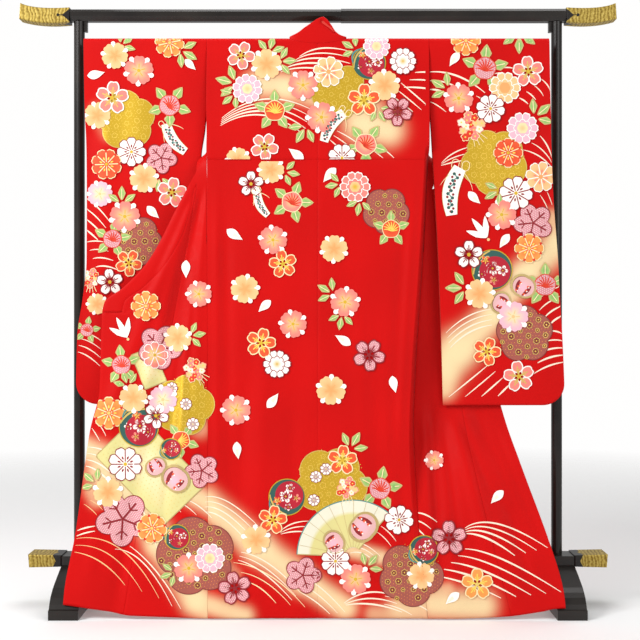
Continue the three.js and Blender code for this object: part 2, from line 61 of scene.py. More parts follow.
def mix(a: Array, b: Array, t: Array) -> Array:
    """Linear mix of a and b."""
    return a + (b - a) * t


def linear(hex_colour: str) -> tuple[float, float, float]:
    """Linear light values of a colour written as six hex digits."""
    values = [int(hex_colour[i:i + 2], 16) / 255 for i in (0, 2, 4)]
    return tuple(v / 12.92 if v <= 0.04045 else ((v + 0.055) / 1.055) ** 2.4 for v in values)


def table(kind: type, *values: tuple) -> tuple:
    """Objects of a dataclass, one from each row of its values in order."""
    return tuple(kind(*row) for row in values)


@dataclass(frozen=True)
class Curve:
    """A value along a height or breadth: a smooth curve through a few knots that never overshoots.

    Between knots it is the cubic whose end slopes are the harmonic mean of the neighbouring chords.
    """

    at: tuple[float, ...]
    value: tuple[float, ...]

    def __call__(self, where: Array) -> Array:
        """Values at the places in where, held at the ends.

        Args:
            where: places along the curve.

        Returns:
            Values there, held at the ends.
        """
        order = np.argsort(self.at)
        x = np.asarray(self.at, float)[order]
        y = np.asarray(self.value, float)[order]
        chord = np.diff(y) / np.diff(x)
        before = np.concatenate([chord[:1], chord])
        after = np.concatenate([chord, chord[-1:]])
        with np.errstate(divide="ignore", invalid="ignore"):
            slope = np.where(before * after > 0, 2 * before * after / (before + after), 0.0)
        where = np.clip(np.asarray(where, float), x[0], x[-1])
        i = np.clip(np.searchsorted(x, where, side="right") - 1, 0, len(x) - 2)
        span = x[i + 1] - x[i]
        t = (where - x[i]) / span
        bend = t * (1 - t) * span * ((1 - t) * slope[i] - t * slope[i + 1])
        return mix(y[i], y[i + 1], t * t * (3 - 2 * t)) + bend


# Cloth, seams and the shoulder fold over the rod
WALL = 1.6
SEAM = 0.04
ROD_Y = -48.0
ROD_Z = 1652.8
FOLD_RADIUS = 12.5
FOLD_LENGTH = FOLD_RADIUS * math.pi / 2
FLAT_LENGTH = FOLD_LENGTH + ROD_Z
SHOULDER_Y = ROD_Y - FOLD_RADIUS
BACK_FACE_Y = ROD_Y + FOLD_RADIUS
SLEEVE_SEAM_END = 1485.0
ARMPIT = 1323.0
TUCK = 1304.0
TUCK_DROP = 3.0
TUCK_STEP = 2.4
HEM_Y = -209.0
NECK_HALF = 85.0
NECK_DROP = 23.0
NECK_END = 83.0
COLLAR_END = 862.0
PANEL_TIP = 1225.0
CUFF_END = 1435.0
SLEEVE_BOTTOM = 593.0
SLEEVE_CORNER = 65.0
SLEEVE_HEM_GAP = 1.4
SLEEVE_LEAN = {"left": 0.0, "right": 0.042}
TURN_END = PANEL_TIP + 15

# Knots by height: edges of the back, the opened fronts, their seams and collars, and the sleeves
BACK_EDGE_AT = (1666, 1485, 1323, 1013, 671, 500, 250, 0)
BACK_EDGE = {
    "left": Curve(BACK_EDGE_AT, (325, 325, 322, 318, 314, 312, 310, 308)),
    "right": Curve(BACK_EDGE_AT, (317, 317, 310, 291, 266, 259, 268, 292)),
}
WING_EDGE_AT = (1323, 1170, 1013, 932, 892, 854, 643, 527, 437, 209, 41, 0)
WING_EDGE = {
    "left": Curve(WING_EDGE_AT, (326, 404, 486, 560, 612, 619, 622, 647, 659, 684, 711, 714)),
    "right": Curve(WING_EDGE_AT, (329, 370, 414, 437, 448, 459, 518, 549, 577, 648, 690, 694)),
}
PANEL_SEAM_AT = (1290, 1158, 862, 640, 400, 0)
PANEL_SEAM = {
    "left": Curve(PANEL_SEAM_AT, (342, 361, 412, 452, 487, 545)),
    "right": Curve(PANEL_SEAM_AT, (330, 342, 377, 410, 450, 542)),
}
COLLAR_WIDTH_AT = (1666, 1450, 1350, 1290, 1225, 1158, 1060, 862)
COLLAR_WIDTH = {
    "left": Curve(COLLAR_WIDTH_AT, (55, 44, 18, 13, 20, 42, 56, 57)),
    "right": Curve(COLLAR_WIDTH_AT, (55, 44, 18, 12, 12, 22, 38, 52)),
}
TURN_AT = (1666, 1560, 1450, 1400, 1365, 1342, 1323, 1300, 1275, 1240)
GATHERED_BREADTH = Curve(TURN_AT, (295, 222, 148, 108, 66, 42, 35, 33, 31, 46))
TURN_DEGREES = Curve(TURN_AT, (0, 0, 0, 8, 34, 72, 106, 150, 172, 180))
SLEEVE_AT = (1666, 1485, 1400, 1323, 1200, 1013, 900, 800, 593)
SLEEVE_INNER = {
    "left": Curve(SLEEVE_AT, (325, 325, 331, 342, 346, 350, 354, 358, 362)),
    "right": Curve(SLEEVE_AT, (325, 325, 330, 334, 341, 350, 354, 357, 362)),
}
SLEEVE_OUTER = {
    "left": Curve(SLEEVE_AT, (686, 683, 681, 679, 678, 679, 691, 706, 711)),
    "right": Curve(SLEEVE_AT, (677, 679, 681, 683, 687, 699, 704, 709, 716)),
}
HEM = Curve((-714, -655, -596, -526, -420, -313, 34, 376, 527, 630, 660, 694),
            (42, 34, 25, 12, 8, 4, 5, 4, 10, 24, 31, 33))
COLLAR_TOP = Curve((-85, -61, -38, -17, 0, 15, 26, 38, 52, 68, 85),
                   (1669, 1680, 1698, 1713, 1724, 1729, 1722, 1706, 1684, 1673, 1669))
RIGHT_FRONT_Y = Curve((1666, 1485, 1323, 900, 593, 400, 220, 0),
                      (-35.5, -35.5, -43, -62, -81, -142, -184, -209))
SEAM_SETBACK = Curve((1666, 1485, 1323, 500, 0), (8, 8, 13, 17, 16))
SIDES = {"left": -1.0, "right": 1.0}


@dataclass(frozen=True)
class Fold:
    """A soft trough (depth above 0) or ridge (below 0) along a straight line from a high to a low end."""

    x1: float
    z1: float
    x2: float
    z2: float
    reach: float
    depth: float

    def __call__(self, x: Array, z: Array) -> Array:
        """Depth at (x, z): a bell across the line, faded in at its upper end and out at its lower one.

        Args:
            x: places across.
            z: heights.

        Returns:
            Depth at each place.
        """
        t = (self.z1 - z) / (self.z1 - self.z2)
        away = (np.abs(x) - mix(self.x1, self.x2, t)) / self.reach
        return self.depth * ease(t * 5) * ease((1.15 - t) * 4) * np.exp(-away * away)


FOLDS = {
    "left": table(
        Fold,
        (330, 1290, 560, 60, 26, 9), (335, 1270, 400, 380, 20, -7), (345, 1260, 600, 560, 24, -6),
    ),
    "right": table(
        Fold,
        (332, 640, 345, 90, 22, 10), (385, 585, 480, 200, 24, -9), (440, 640, 590, 160, 28, 10),
    ),
}

# Finer creases of the opened fronts
FINE_CREASES = {
    "left": table(
        Fold,
        (334, 1290, 372, 640, 14, 6.5), (346, 1250, 500, 620, 17, -5.0), (338, 1290, 440, 260, 15, 5.0),
        (352, 1230, 480, 940, 13, 4.0), (330, 1000, 345, 120, 16, -2.6), (400, 760, 500, 120, 18, 2.8),
        (560, 700, 640, 90, 20, -3.0), (360, 620, 385, 60, 20, -2.6), (520, 420, 560, 70, 18, 2.6),
    ),
    "right": table(
        Fold,
        (300, 600, 320, 130, 14, -4.7), (360, 570, 405, 150, 14, 5.2), (410, 560, 500, 330, 13, 4.2),
        (470, 520, 610, 120, 16, -4.7), (500, 560, 640, 170, 15, 3.9), (350, 300, 400, 60, 16, -3.6),
        (540, 330, 600, 60, 18, 3.9),
    ),
}


@dataclass(frozen=True)
class Drift:
    """Slow unevenness of hanging silk: a few long waves of small height."""

    height: float
    tall: float = 610.0
    wide: float = 190.0
    phase: float = 0.0

    def __call__(self, x: Array, z: Array) -> Array:
        """Depth at (x, z): sum of three sine waves that lean differently.

        Args:
            x: places across.
            z: heights.

        Returns:
            Depth at each place.
        """
        a = np.sin(2 * math.pi * (x / self.wide + z / (3.1 * self.tall)) + self.phase)
        b = np.sin(2 * math.pi * (x / (0.61 * self.wide) - z / (2.2 * self.tall)) + 1.7 * self.phase + 1)
        c = np.sin(2 * math.pi * (z / self.tall + x / (4 * self.wide)) + 2 + self.phase)
        return self.height * (0.5 * a + 0.28 * b + 0.32 * c)


BODY_DRIFT = Drift(1.6, phase=0.6)
SLEEVE_DRIFT = {"left": Drift(1.3, 520, 150, 2.1), "right": Drift(1.6, 560, 165, 0.3)}


def back_y(z: Array) -> Array:
    """Depth of the hanging back: a straight lean to the viewer, stepped in under the waist tuck."""
    lean = mix(HEM_Y, SHOULDER_Y, np.asarray(z) / 1666)
    return lean + TUCK_STEP * ease((TUCK + TUCK_DROP - z) / TUCK_DROP)


def below_shoulder(z: Array) -> Array:
    """Share of the relief at a height: none at the shoulder, all of it a little lower."""
    return ease((1640 - z) / 90)


def below_tuck(z: Array) -> Array:
    """Share of the lower cloth's drift at a height: none above the waist tuck, all of it well under it."""
    return ease((TUCK - 30 - z) / 260)


def body_relief(side: str, x: Array, z: Array) -> Array:
    """Large folds, fine creases and drift of the body cloth, calm near the shoulder and the armpit.

    Args:
        side: left or right.
        x: places across.
        z: heights.

    Returns:
        Depth that the relief adds.
    """
    total = sum(fold(x, z) for fold in FOLDS[side] + FINE_CREASES[side])
    return total + BODY_DRIFT(x, z) * (0.35 + 0.65 * below_tuck(z)) * below_shoulder(z)


def over_shoulder(distance: Array, to_viewer: float) -> tuple[Array, Array]:
    """Depth and height at a distance along the cloth from the crest: a quarter circle, then straight down.

    Args:
        distance: length of cloth from the crest.
        to_viewer: 1 on the near side, -1 on the far.

    Returns:
        Depth and height.
    """
    angle = np.minimum(distance / FOLD_RADIUS, math.pi / 2)
    down = np.maximum(0.0, distance - FOLD_LENGTH)
    return ROD_Y - to_viewer * FOLD_RADIUS * np.sin(angle), ROD_Z + FOLD_RADIUS * np.cos(angle) - down


def neck_cut(x: Array) -> Array:
    """How far the neckline is cut down the cloth at x: half an ellipse."""
    return NECK_DROP * np.sqrt(np.clip(1 - (x / NECK_HALF) ** 2, 0, 1))


@dataclass
class FrontRow:
    """Rows of an opened front: start at the side seam, depth there, turn, breadth and collar width."""

    side: str
    z: Array
    start: Array = field(init=False)
    y: Array = field(init=False)
    turn: Array = field(init=False)
    breadth: Array = field(init=False)
    collar: Array = field(init=False)

    def __post_init__(self) -> None:
        """Work the row out from the knots: it turns half round at the armpit, then runs out to the edge."""
        z = self.z
        right = self.side == "right"
        setback = SEAM_SETBACK(z) if right else 0.0
        slit = ease((SLEEVE_SEAM_END - z) / 80) * ease((z - 1240) / 40)
        clear = np.where(z < SLEEVE_SEAM_END, SEAM + 0.5 * WALL * slit, 0.0)
        self.start = BACK_EDGE[self.side](z) + setback + clear
        hung = RIGHT_FRONT_Y(z) if right else back_y(z)
        passing = ease((SLEEVE_SEAM_END - z) / (SLEEVE_SEAM_END - ARMPIT - 12))
        self.y = hung if right else mix(BACK_FACE_Y, hung, passing)
        self.turn = np.radians(np.where(z > TURN_END, TURN_DEGREES(z), 180.0))
        free = WING_EDGE[self.side](z) - self.start
        self.breadth = mix(free, GATHERED_BREADTH(z), ease((z - TURN_END) / 50))
        self.collar = COLLAR_WIDTH[self.side](z)

    def point(self, share: Array) -> tuple[Array, Array]:
        """X and depth at a share of the row, folds and creases included.

        Args:
            share: share of the row's breadth.

        Returns:
            X and depth.
        """
        sign = SIDES[self.side]
        reach = share * self.breadth
        x = sign * (self.start - reach * np.cos(self.turn))
        settled = ease((TURN_END - self.z) / 60) * ease(share * 6)
        relief = body_relief(self.side, x, self.z) * settled
        return x, self.y + reach * np.sin(self.turn) + relief

    def seam_share(self) -> Array:
        """Share of the row at the seam between front and overlap panel."""
        return (PANEL_SEAM[self.side](self.z) - self.start) / self.breadth


def sleeve_gap(side: str, u: Array, z: Array) -> Array:
    """Half the space between the two walls of a sleeve at a share u of its width and a height z.

    Args:
        side: left or right.
        u: share of the width, from the seam.
        z: heights.

    Returns:
        Half the space.
    """
    width = SLEEVE_OUTER[side](SLEEVE_BOTTOM) - SLEEVE_INNER[side](SLEEVE_BOTTOM)
    plain = 1 - SLEEVE_CORNER / width
    into = np.clip((u - plain) / (1 - plain), 0, 1)
    rise = SLEEVE_CORNER * (1 - np.sqrt(np.clip(1 - into * into, 0, 1)))
    from_bottom = ease((z - SLEEVE_BOTTOM - rise) / 160)
    from_edge = mix(1.0, ease((1 - u) * 5), ease((CUFF_END - z) / 60))
    openness = mix(1.0, 0.62, ease((ROD_Z - z) / 500)) * from_bottom * from_edge
    return SLEEVE_HEM_GAP + (FOLD_RADIUS - SLEEVE_HEM_GAP) * openness


def sleeve_y(side: str, u: Array, z: Array, to_viewer: float) -> Array:
    """Depth of a sleeve's wall below the rod: the gap on one side of a leaning middle plane, with drift.

    Args:
        side: left or right.
        u: share of the width, from the seam.
        z: heights.
        to_viewer: 1 for the near wall, -1 for the far one.

    Returns:
        Depth of the wall's middle surface.
    """
    x = SIDES[side] * mix(SLEEVE_INNER[side](z), SLEEVE_OUTER[side](z), u)
    drift = SLEEVE_DRIFT[side](x, z) * ease((ROD_Z - z) / 240)
    return ROD_Y - SLEEVE_LEAN[side] * np.maximum(0, ROD_Z - z) + drift - to_viewer * sleeve_gap(side, u, z)


# Soft creases of the back and its seams
BACK_CREASES = {
    "left": table(
        Fold,
        (296, 1290, 288, 90, 12, -3.8), (268, 1180, 246, 300, 16, 2.9), (150, 900, 175, 60, 26, -3.2),
        (70, 640, 82, 40, 22, 2.6), (210, 700, 232, 50, 20, 3.5),
    ),
    "right": table(
        Fold,
        (288, 1290, 236, 520, 14, -4.1), (250, 1180, 208, 420, 18, 3.2), (120, 980, 140, 60, 24, -2.9),
        (196, 620, 228, 40, 20, -3.8), (60, 520, 52, 40, 24, 2.6), (240, 420, 268, 40, 16, 3.5),
    ),
}
SEAM_DIP = 0.7
SEAM_REACH = 3.0

# Share of a back's and of a front length's breadth that the rounding beside a seam takes
BACK_SEAM_EDGE = 1.2 / 320
FRONT_SEAM_EDGE = 0.012

# Lengths along the cloth from the crest: over the rod, to where the neckline's cut has evened out, past the tuck
FOLD_RUN = 20
NECK_RUN = 40
TUCK_RUN = (366, 376)


def back_relief(x: Array, z: Array) -> Array:
    """Relief of the back: creases and drift that fade out at the side seams, with the centre seam's dip.

    Args:
        x: places across.
        z: heights.

    Returns:
        Depth that the relief adds.
    """
    left = sum(crease(x, z) for crease in BACK_CREASES["left"])
    right = sum(crease(x, z) for crease in BACK_CREASES["right"])
    edge = np.where(x < 0, BACK_EDGE["left"](z), BACK_EDGE["right"](z))
    inside = ease((edge - np.abs(x)) / 45)
    calm = below_shoulder(z) * (0.45 + 0.55 * below_tuck(z))
    relief = np.where(x < 0, left, right) + BODY_DRIFT(x, z) * calm
    return relief * inside + SEAM_DIP * np.exp(-(x / SEAM_REACH) ** 2)


def back_front_y(x: Array, z: Array) -> Array:
    """Depth of the back's middle surface where it faces the viewer, over the fold as well as below it.

    Args:
        x: places across.
        z: heights.

    Returns:
        Depth of the middle surface.
    """
    below = mix(SHOULDER_Y, back_y(z), ease((ROD_Z - z) / 40)) + back_relief(x, z)
    over = ROD_Y - np.sqrt(np.clip(FOLD_RADIUS ** 2 - (z - ROD_Z) ** 2, 0, None))
    return np.where(z > ROD_Z, over + SEAM_DIP * np.exp(-(x / SEAM_REACH) ** 2), below)


def spread(*marks: tuple[float, float, int]) -> Array:
    """Stations from one mark to the next, evenly spaced in each stretch given as (from, to, parts)."""
    runs = [np.linspace(a, b, n, endpoint=False) for a, b, n in marks]
    return np.concatenate(runs + [np.array([marks[-1][1]])])


def edged(parts: int, edge: float) -> Array:
    """Shares from 0 to 1 in even parts, with two close stations at each end to shape the seam edge."""
    return np.unique(np.concatenate([np.linspace(0, 1, parts + 1), [edge, 2.5 * edge, 1 - edge, 1 - 2.5 * edge]]))


def new_mesh(name: str, points: Array, faces: Sequence[Array], uv: Array | None = None,
             dye: Array | None = None, slots: Array | None = None) -> bpy.types.Object:
    """Make a mesh object from arrays.

    Args:
        name: object's name.
        points: corners in millimetres, one row each.
        faces: blocks of faces, each an array with one row of corner numbers for a face.
        uv: flat place of each corner, in metres.
        dye: linear colour of each corner.
        slots: material number of each face.

    Returns:
        The object, linked to the scene and standing at the origin.
    """
    mesh = bpy.data.meshes.new(name)
    blocks = [block for block in faces if len(block)]
    corners = np.concatenate([block.ravel() for block in blocks]).astype(np.int32)
    totals = np.concatenate([np.full(len(block), block.shape[1]) for block in blocks]).astype(np.int32)
    starts = np.concatenate([[0], np.cumsum(totals)[:-1]]).astype(np.int32)
    mesh.vertices.add(len(points))
    mesh.vertices.foreach_set("co", (np.asarray(points) * MM).astype(np.float32).ravel())
    mesh.loops.add(len(corners))
    mesh.loops.foreach_set("vertex_index", corners)
    mesh.polygons.add(len(totals))
    mesh.polygons.foreach_set("loop_start", starts)
    mesh.polygons.foreach_set("use_smooth", np.full(len(totals), True))
    if slots is not None:
        mesh.polygons.foreach_set("material_index", slots.astype(np.int32))
    mesh.update(calc_edges=True)
    if uv is not None:
        layer = mesh.uv_layers.new(name="flat")
        layer.data.foreach_set("uv", uv[corners].astype(np.float32).ravel())
    if dye is not None:
        layer = mesh.color_attributes.new("dye", "FLOAT_COLOR", "POINT")
        rgba = np.concatenate([dye, np.ones((len(dye), 1))], axis=1)
        layer.data.foreach_set("color", rgba.astype(np.float32).ravel())
    mesh.validate()
    piece = bpy.data.objects.new(name, mesh)
    bpy.context.scene.collection.objects.link(piece)
    return piece


def grid_faces(rows: int, columns: int, base: int = 0, flip: bool = False) -> Array:
    """Quads of a grid of corners numbered row by row from base.

    Args:
        rows: rows of corners.
        columns: corners in a row.
        base: number of the first corner.
        flip: whether the faces look the other way.

    Returns:
        Four corner numbers for each face.
    """
    a = (np.arange(rows - 1)[:, None] * columns + np.arange(columns - 1)).ravel() + base
    quads = np.stack([a, a + 1, a + columns + 1, a + columns], axis=1)
    return quads[:, ::-1] if flip else quads


def surface_normals(points: Array) -> Array:
    """Unit normals of a grid of points: cross product of its differences along columns and rows.

    Args:
        points: rows, columns and 3 coordinates.

    Returns:
        Unit normal at each point.
    """
    along_columns = np.gradient(points, axis=1)
    along_rows = np.gradient(points, axis=0)
    normal = np.cross(along_columns, along_rows)
    return normal / np.maximum(np.linalg.norm(normal, axis=2, keepdims=True), 1e-9)


def shell(name: str, middle: Array, uv: Array, outer_dye: Array, inner_dye: Array,
          outer_row: int) -> bpy.types.Object:
    """Closed thin wall: a grid of points moved half a wall out along its normals to each side, with rims.

    Args:
        name: object's name.
        middle: middle surface, an array of rows, columns and 3 coordinates.
        uv: flat place of each point in metres.
        outer_dye: colours of the patterned face.
        inner_dye: colours of the plain face.
        outer_row: row whose patterned face looks towards the viewer.

    Returns:
        The object, with its patterned face and rims dyed.
    """
    rows, columns = middle.shape[:2]
    normal = surface_normals(middle)
    if normal[outer_row, columns // 2, 1] > 0:
        normal = -normal
    seen = np.cross(middle[0, 1] - middle[0, 0], middle[1, 0] - middle[0, 0])
    flip = float(seen @ normal[0, 0]) < 0
    outer = (middle + normal * WALL / 2).reshape(-1, 3)
    inner = (middle - normal * WALL / 2).reshape(-1, 3)
    count = rows * columns
    top = grid_faces(rows, columns, 0, flip)
    bottom = grid_faces(rows, columns, count, not flip)
    index = np.arange(count).reshape(rows, columns)
    loop = np.concatenate([index[0, :-1], index[:-1, -1], index[-1, :0:-1], index[:0:-1, 0]])
    after = np.roll(loop, -1)
    rim = np.stack([after, loop, loop + count, after + count], axis=1)
    rim = rim[:, ::-1] if flip else rim
    points = np.concatenate([outer, inner])
    dye = np.concatenate([outer_dye.reshape(-1, 3), inner_dye.reshape(-1, 3)])
    flat = np.tile(uv.reshape(-1, 2), (2, 1))
    return new_mesh(name, points, [top, bottom, rim], flat, dye)


class Tint(Enum):
    """Dyes, foils and threads, as six hex digits."""

    RED = "CE0A09"
    LINING = "D8443A"
    PEACH = "FBC58A"
    CORAL = "F2857A"
    PINK = "F5B9C8"
    CREAM = "F8E2AE"
    GOLD = "D6AE2C"
    PALE_GOLD = "E3C56A"
    LEAF = "A2C670"
    LEAF_DARK = "7FAE5C"
    TAN = "CDB376"
    WHITE = "FFF8F0"
    ORANGE = "E8562C"
    BROWN = "A5564A"
    PLUM = "7C2F2C"
    SHIBORI = "D98F96"
    TEAL = "4E8F8A"
    YELLOW = "F6D25A"
    APRICOT = "F3A765"
    AMBER = "EE9A4A"
    SCARLET = "DC3A1E"
    CRIMSON = "B3152C"
    WINE = "8E1F26"
    PALE_PINK = "F6D3D2"
    WARM_WHITE = "FDEBD2"
    DEEP_TEAL = "2F5A52"
    SHELL = "E3B3B0"
    PAPER = "DCD38C"
    MIST = "E9E6CF"

    @property
    def rgb(self) -> Array:
        """Linear colour."""
        return np.array(linear(self.value))


@dataclass(frozen=True)
class PhotoFrame:
    """The photograph's frame: where its camera stands, and how its pixels map to places."""

    pixels: float = 640.0
    focal: float = 1176.0
    x: float = 6.0
    y: float = -3500.0
    z: float = 840.0

    def place(self, px: Array, py: Array, depth: Array) -> tuple[Array, Array]:
        """X and Z of a pixel at a depth."""
        scale = (depth - self.y) / self.focal
        return self.x + (px - self.pixels / 2) * scale, self.z + (self.pixels / 2 - py) * scale

    def pixel(self, x: Array, y: Array, z: Array) -> tuple[Array, Array]:
        """Pixel of a place."""
        scale = self.focal / (y - self.y)
        return self.pixels / 2 + (x - self.x) * scale, self.pixels / 2 - (z - self.z) * scale


VIEW = PhotoFrame()


@dataclass(frozen=True)
class Bokashi:
    """A soft cloud of pale dye along a line in the photograph's pixels."""

    x1: float
    y1: float
    x2: float
    y2: float
    reach: float
    strength: float
    tint: Tint = Tint.CREAM

    def amount(self, px: Array, py: Array) -> Array:
        """Share of pale dye: a soft-shouldered bell of the distance from the line.

        Args:
            px: pixels across.
            py: pixels down.

        Returns:
            Share at each pixel.
        """
        dx, dy = self.x2 - self.x1, self.y2 - self.y1
        t = np.clip(((px - self.x1) * dx + (py - self.y1) * dy) / max(dx * dx + dy * dy, 1e-6), 0, 1)
        away = np.hypot(px - self.x1 - t * dx, py - self.y1 - t * dy) / self.reach
        return self.strength * np.exp(-away ** 2.6)


# Pale clouds of dye by region
BOKASHI = {
    "back": table(
        Bokashi,
        (256, 84, 286, 86, 13, 0.85), (286, 90, 320, 100, 10, 0.6), (360, 126, 388, 130, 16, 0.9),
        (330, 96, 370, 112, 16, 0.6), (205, 502, 258, 547, 14, 0.9), (258, 547, 300, 578, 14, 0.9),
        (300, 578, 345, 608, 12, 0.9), (206, 604, 244, 616, 10, 0.8), (344, 548, 380, 557, 8, 0.8),
        (374, 614, 440, 616, 9, 0.5), (400, 606, 440, 600, 12, 0.7), (228, 566, 236, 574, 6, 0.3),
    ),
    "left_wing": table(
        Bokashi,
        (88, 450, 112, 460, 12, 0.85), (100, 474, 132, 492, 14, 0.85), (132, 492, 160, 540, 15, 0.8),
        (158, 545, 196, 600, 13, 0.85), (184, 490, 214, 506, 11, 0.85), (196, 600, 214, 612, 14, 0.8),
        (92, 492, 96, 500, 8, 0.5), (176, 404, 200, 428, 10, 0.4),
    ),
    "right_wing": table(
        Bokashi,
        (434, 604, 482, 606, 15, 0.9), (440, 590, 448, 588, 6, 0.4),
    ),
    "sleeve_left": table(
        Bokashi,
        (98, 112, 110, 132, 9, 0.3),
    ),
    "sleeve_right": table(
        Bokashi,
        (444, 366, 458, 350, 19, 0.95), (458, 350, 496, 312, 15, 0.9), (496, 312, 524, 276, 12, 0.85),
        (524, 276, 556, 246, 15, 0.9), (444, 388, 446, 372, 12, 0.8), (552, 218, 556, 240, 9, 0.6),
    ),
}


def dyed(region: str, points: Array) -> Array:
    """Colours of cloth at points: red, lightened by each pale cloud of its region.

    Args:
        region: a key of BOKASHI.
        points: places, 3 coordinates each.

    Returns:
        Linear colours.
    """
    px, py = VIEW.pixel(points[..., 0], points[..., 1], points[..., 2])
    mottle = 1 + 0.05 * np.sin(px / 17 + py / 41) * np.sin(py / 23 - px / 37)
    colour = Tint.RED.rgb * mottle[..., None]
    for cloud in BOKASHI[region]:
        share = np.clip(cloud.amount(px, py), 0, 1)[..., None]
        colour = mix(colour, cloud.tint.rgb, share)
    return colour


def plain_dye(points: Array, tint: Tint) -> Array:
    """One colour at every point."""
    return np.broadcast_to(tint.rgb, points.shape).copy()


Outline = Callable[[Array], Array]
FULL_TURN = 2 * math.pi


def unit(angle: float) -> Array:
    """Unit vector in a direction in radians, with y down."""
    return np.array([math.cos(angle), math.sin(angle)])


def around(turn: float, count: int, shift: float = 0.0) -> list[float]:
    """Directions of even steps round a full turn, moved on by a share of one step."""
    return [turn + (k + shift) * FULL_TURN / count for k in range(count)]


@dataclass
class Drawing:
    """Flat shapes in the photograph's pixels, gathered into one thin layer of dye and foil."""

    step: float = 0.22
    lift: float = 0.0
    points: list = field(default_factory=list)
    levels: list = field(default_factory=list)
    colours: list = field(default_factory=list)
    faces: list = field(default_factory=list)
    gilt: list = field(default_factory=list)
    count: int = 0

    def put(self, points: Array, colours: Array, faces: Array, level: float, gilt: bool = False) -> None:
        """Add corners and their triangles.

        Args:
            points: corners in pixels.
            colours: linear colour of each corner, or one for all.
            faces: three corner numbers for each triangle.
            level: layer number above the cloth.
            gilt: whether it is gold foil.
        """
        self.points.append(points)
        self.levels.append(np.full(len(points), self.lift + level * self.step))
        self.colours.append(np.broadcast_to(colours, (len(points), 3)))
        self.faces.append(faces + self.count)
        self.gilt.append(np.full(len(faces), int(gilt)))
        self.count += len(points)

    def disc(self, at: Sequence[float], outline: Outline, tint: Tint, level: float, turn: float = 0.0,
             heart: Tint | None = None, gilt: bool = False, parts: int = 0) -> None:
        """Fill an outline given as a radius for each angle, in rings out from its centre.

        Args:
            at: centre in pixels.
            outline: radius in pixels for an array of angles.
            tint: colour at the edge.
            level: layer number above the cloth.
            turn: turn in radians.
            heart: colour at the centre, if it fades.
            gilt: whether it is gold foil.
            parts: number of sides, or 0 to suit its size.
        """
        x, y = at
        size = float(outline(np.linspace(0, FULL_TURN, 181)[:-1]).max())
        parts = parts or int(np.clip(size * 4.5, 10, 120))
        rings = max(1, math.ceil(size / 2.6))
        angle = np.linspace(0, FULL_TURN, parts, endpoint=False)
        radius = outline(angle)
        share = np.arange(1, rings + 1)[:, None] / rings
        ring_x = x + share * radius * np.cos(angle + turn)
        ring_y = y + share * radius * np.sin(angle + turn)
        points = np.concatenate([[[x, y]], np.stack([ring_x, ring_y], axis=2).reshape(-1, 2)])
        fade = np.concatenate([[0.0], np.repeat(ease(share[:, 0] * 1.15 - 0.05), parts)])[:, None]
        colours = mix(heart.rgb, tint.rgb, fade) if heart else tint.rgb
        a = np.arange(parts)
        b = (a + 1) % parts
        faces = [np.stack([0 * a, a + 1, b + 1], axis=1)]
        for ring in range(rings - 1):
            low, high = 1 + ring * parts, 1 + (ring + 1) * parts
            faces += [np.stack([low + a, high + a, high + b], axis=1),
                      np.stack([low + a, high + b, low + b], axis=1)]
        self.put(points, colours, np.concatenate(faces), level, gilt)

    def band(self, at: Sequence[float], outline: Outline, width: float, tint: Tint, level: float,
             turn: float = 0.0, gilt: bool = False) -> None:
        """Draw a line just inside an outline.

        Args:
            at: centre in pixels.
            outline: radius in pixels for an array of angles.
            width: breadth of the line in pixels.
            tint: its colour.
            level: layer number above the cloth.
            turn: turn in radians.
            gilt: whether it is gold foil.
        """
        size = float(outline(np.linspace(0, 6.28, 90)).max())
        angle = np.linspace(0, FULL_TURN, int(np.clip(size * 6, 14, 150)))
        radius = outline(angle) - width / 2
        track = np.stack([at[0] + radius * np.cos(angle + turn), at[1] + radius * np.sin(angle + turn)], axis=1)
        self.stroke(track, width, tint, level, gilt)

    def stroke(self, track: Array, width: float | Array, tint: Tint, level: float, gilt: bool = False) -> None:
        """Draw a ribbon along a track.

        Args:
            track: points in pixels.
            width: breadth in pixels, one for all points or one each.
            tint: its colour.
            level: layer number above the cloth.
            gilt: whether it is gold foil.
        """
        track = np.asarray(track, float)
        along = np.gradient(track, axis=0)
        along /= np.maximum(np.linalg.norm(along, axis=1, keepdims=True), 1e-9)
        side = np.stack([-along[:, 1], along[:, 0]], axis=1) * np.asarray(width, float).reshape(-1, 1) / 2
        n = len(track)
        a = np.arange(n - 1)
        faces = np.concatenate([np.stack([a, a + 1, a + 1 + n], axis=1), np.stack([a, a + 1 + n, a + n], axis=1)])
        self.put(np.concatenate([track - side, track + side]), tint.rgb, faces, level, gilt)

    def line(self, start: Sequence[float], end: Sequence[float], width: float, tint: Tint, level: float,
             gilt: bool = False) -> None:
        """Draw a straight stroke.

        Args:
            start: first point in pixels.
            end: last point in pixels.
            width: breadth in pixels.
            tint: its colour.
            level: layer number above the cloth.
            gilt: whether it is gold foil.
        """
        parts = max(3, int(math.hypot(end[0] - start[0], end[1] - start[1]) / 2.5))
        track = mix(np.array(start), np.array(end), np.linspace(0, 1, parts)[:, None])
        self.stroke(track, width, tint, level, gilt)

    def curve(self, knots: Sequence, width: float, tint: Tint, level: float, gilt: bool = False,
              taper: float = 0.35) -> None:
        """Draw a stroke along a quadratic curve that thins out at both ends.

        Args:
            knots: start, control point and end, in pixels.
            width: breadth at the middle in pixels.
            tint: its colour.
            level: layer number above the cloth.
            gilt: whether it is gold foil.
            taper: share of the breadth that is left at the ends.
        """
        a, b, c = np.asarray(knots, float).reshape(3, 2)
        size = np.linalg.norm(b - a) + np.linalg.norm(c - b)
        t = np.linspace(0, 1, max(6, int(size / 2.4)))[:, None]
        track = (1 - t) ** 2 * a + 2 * t * (1 - t) * b + t * t * c
        self.stroke(track, width * (taper + (1 - taper) * np.sin(math.pi * t[:, 0])), tint, level, gilt)

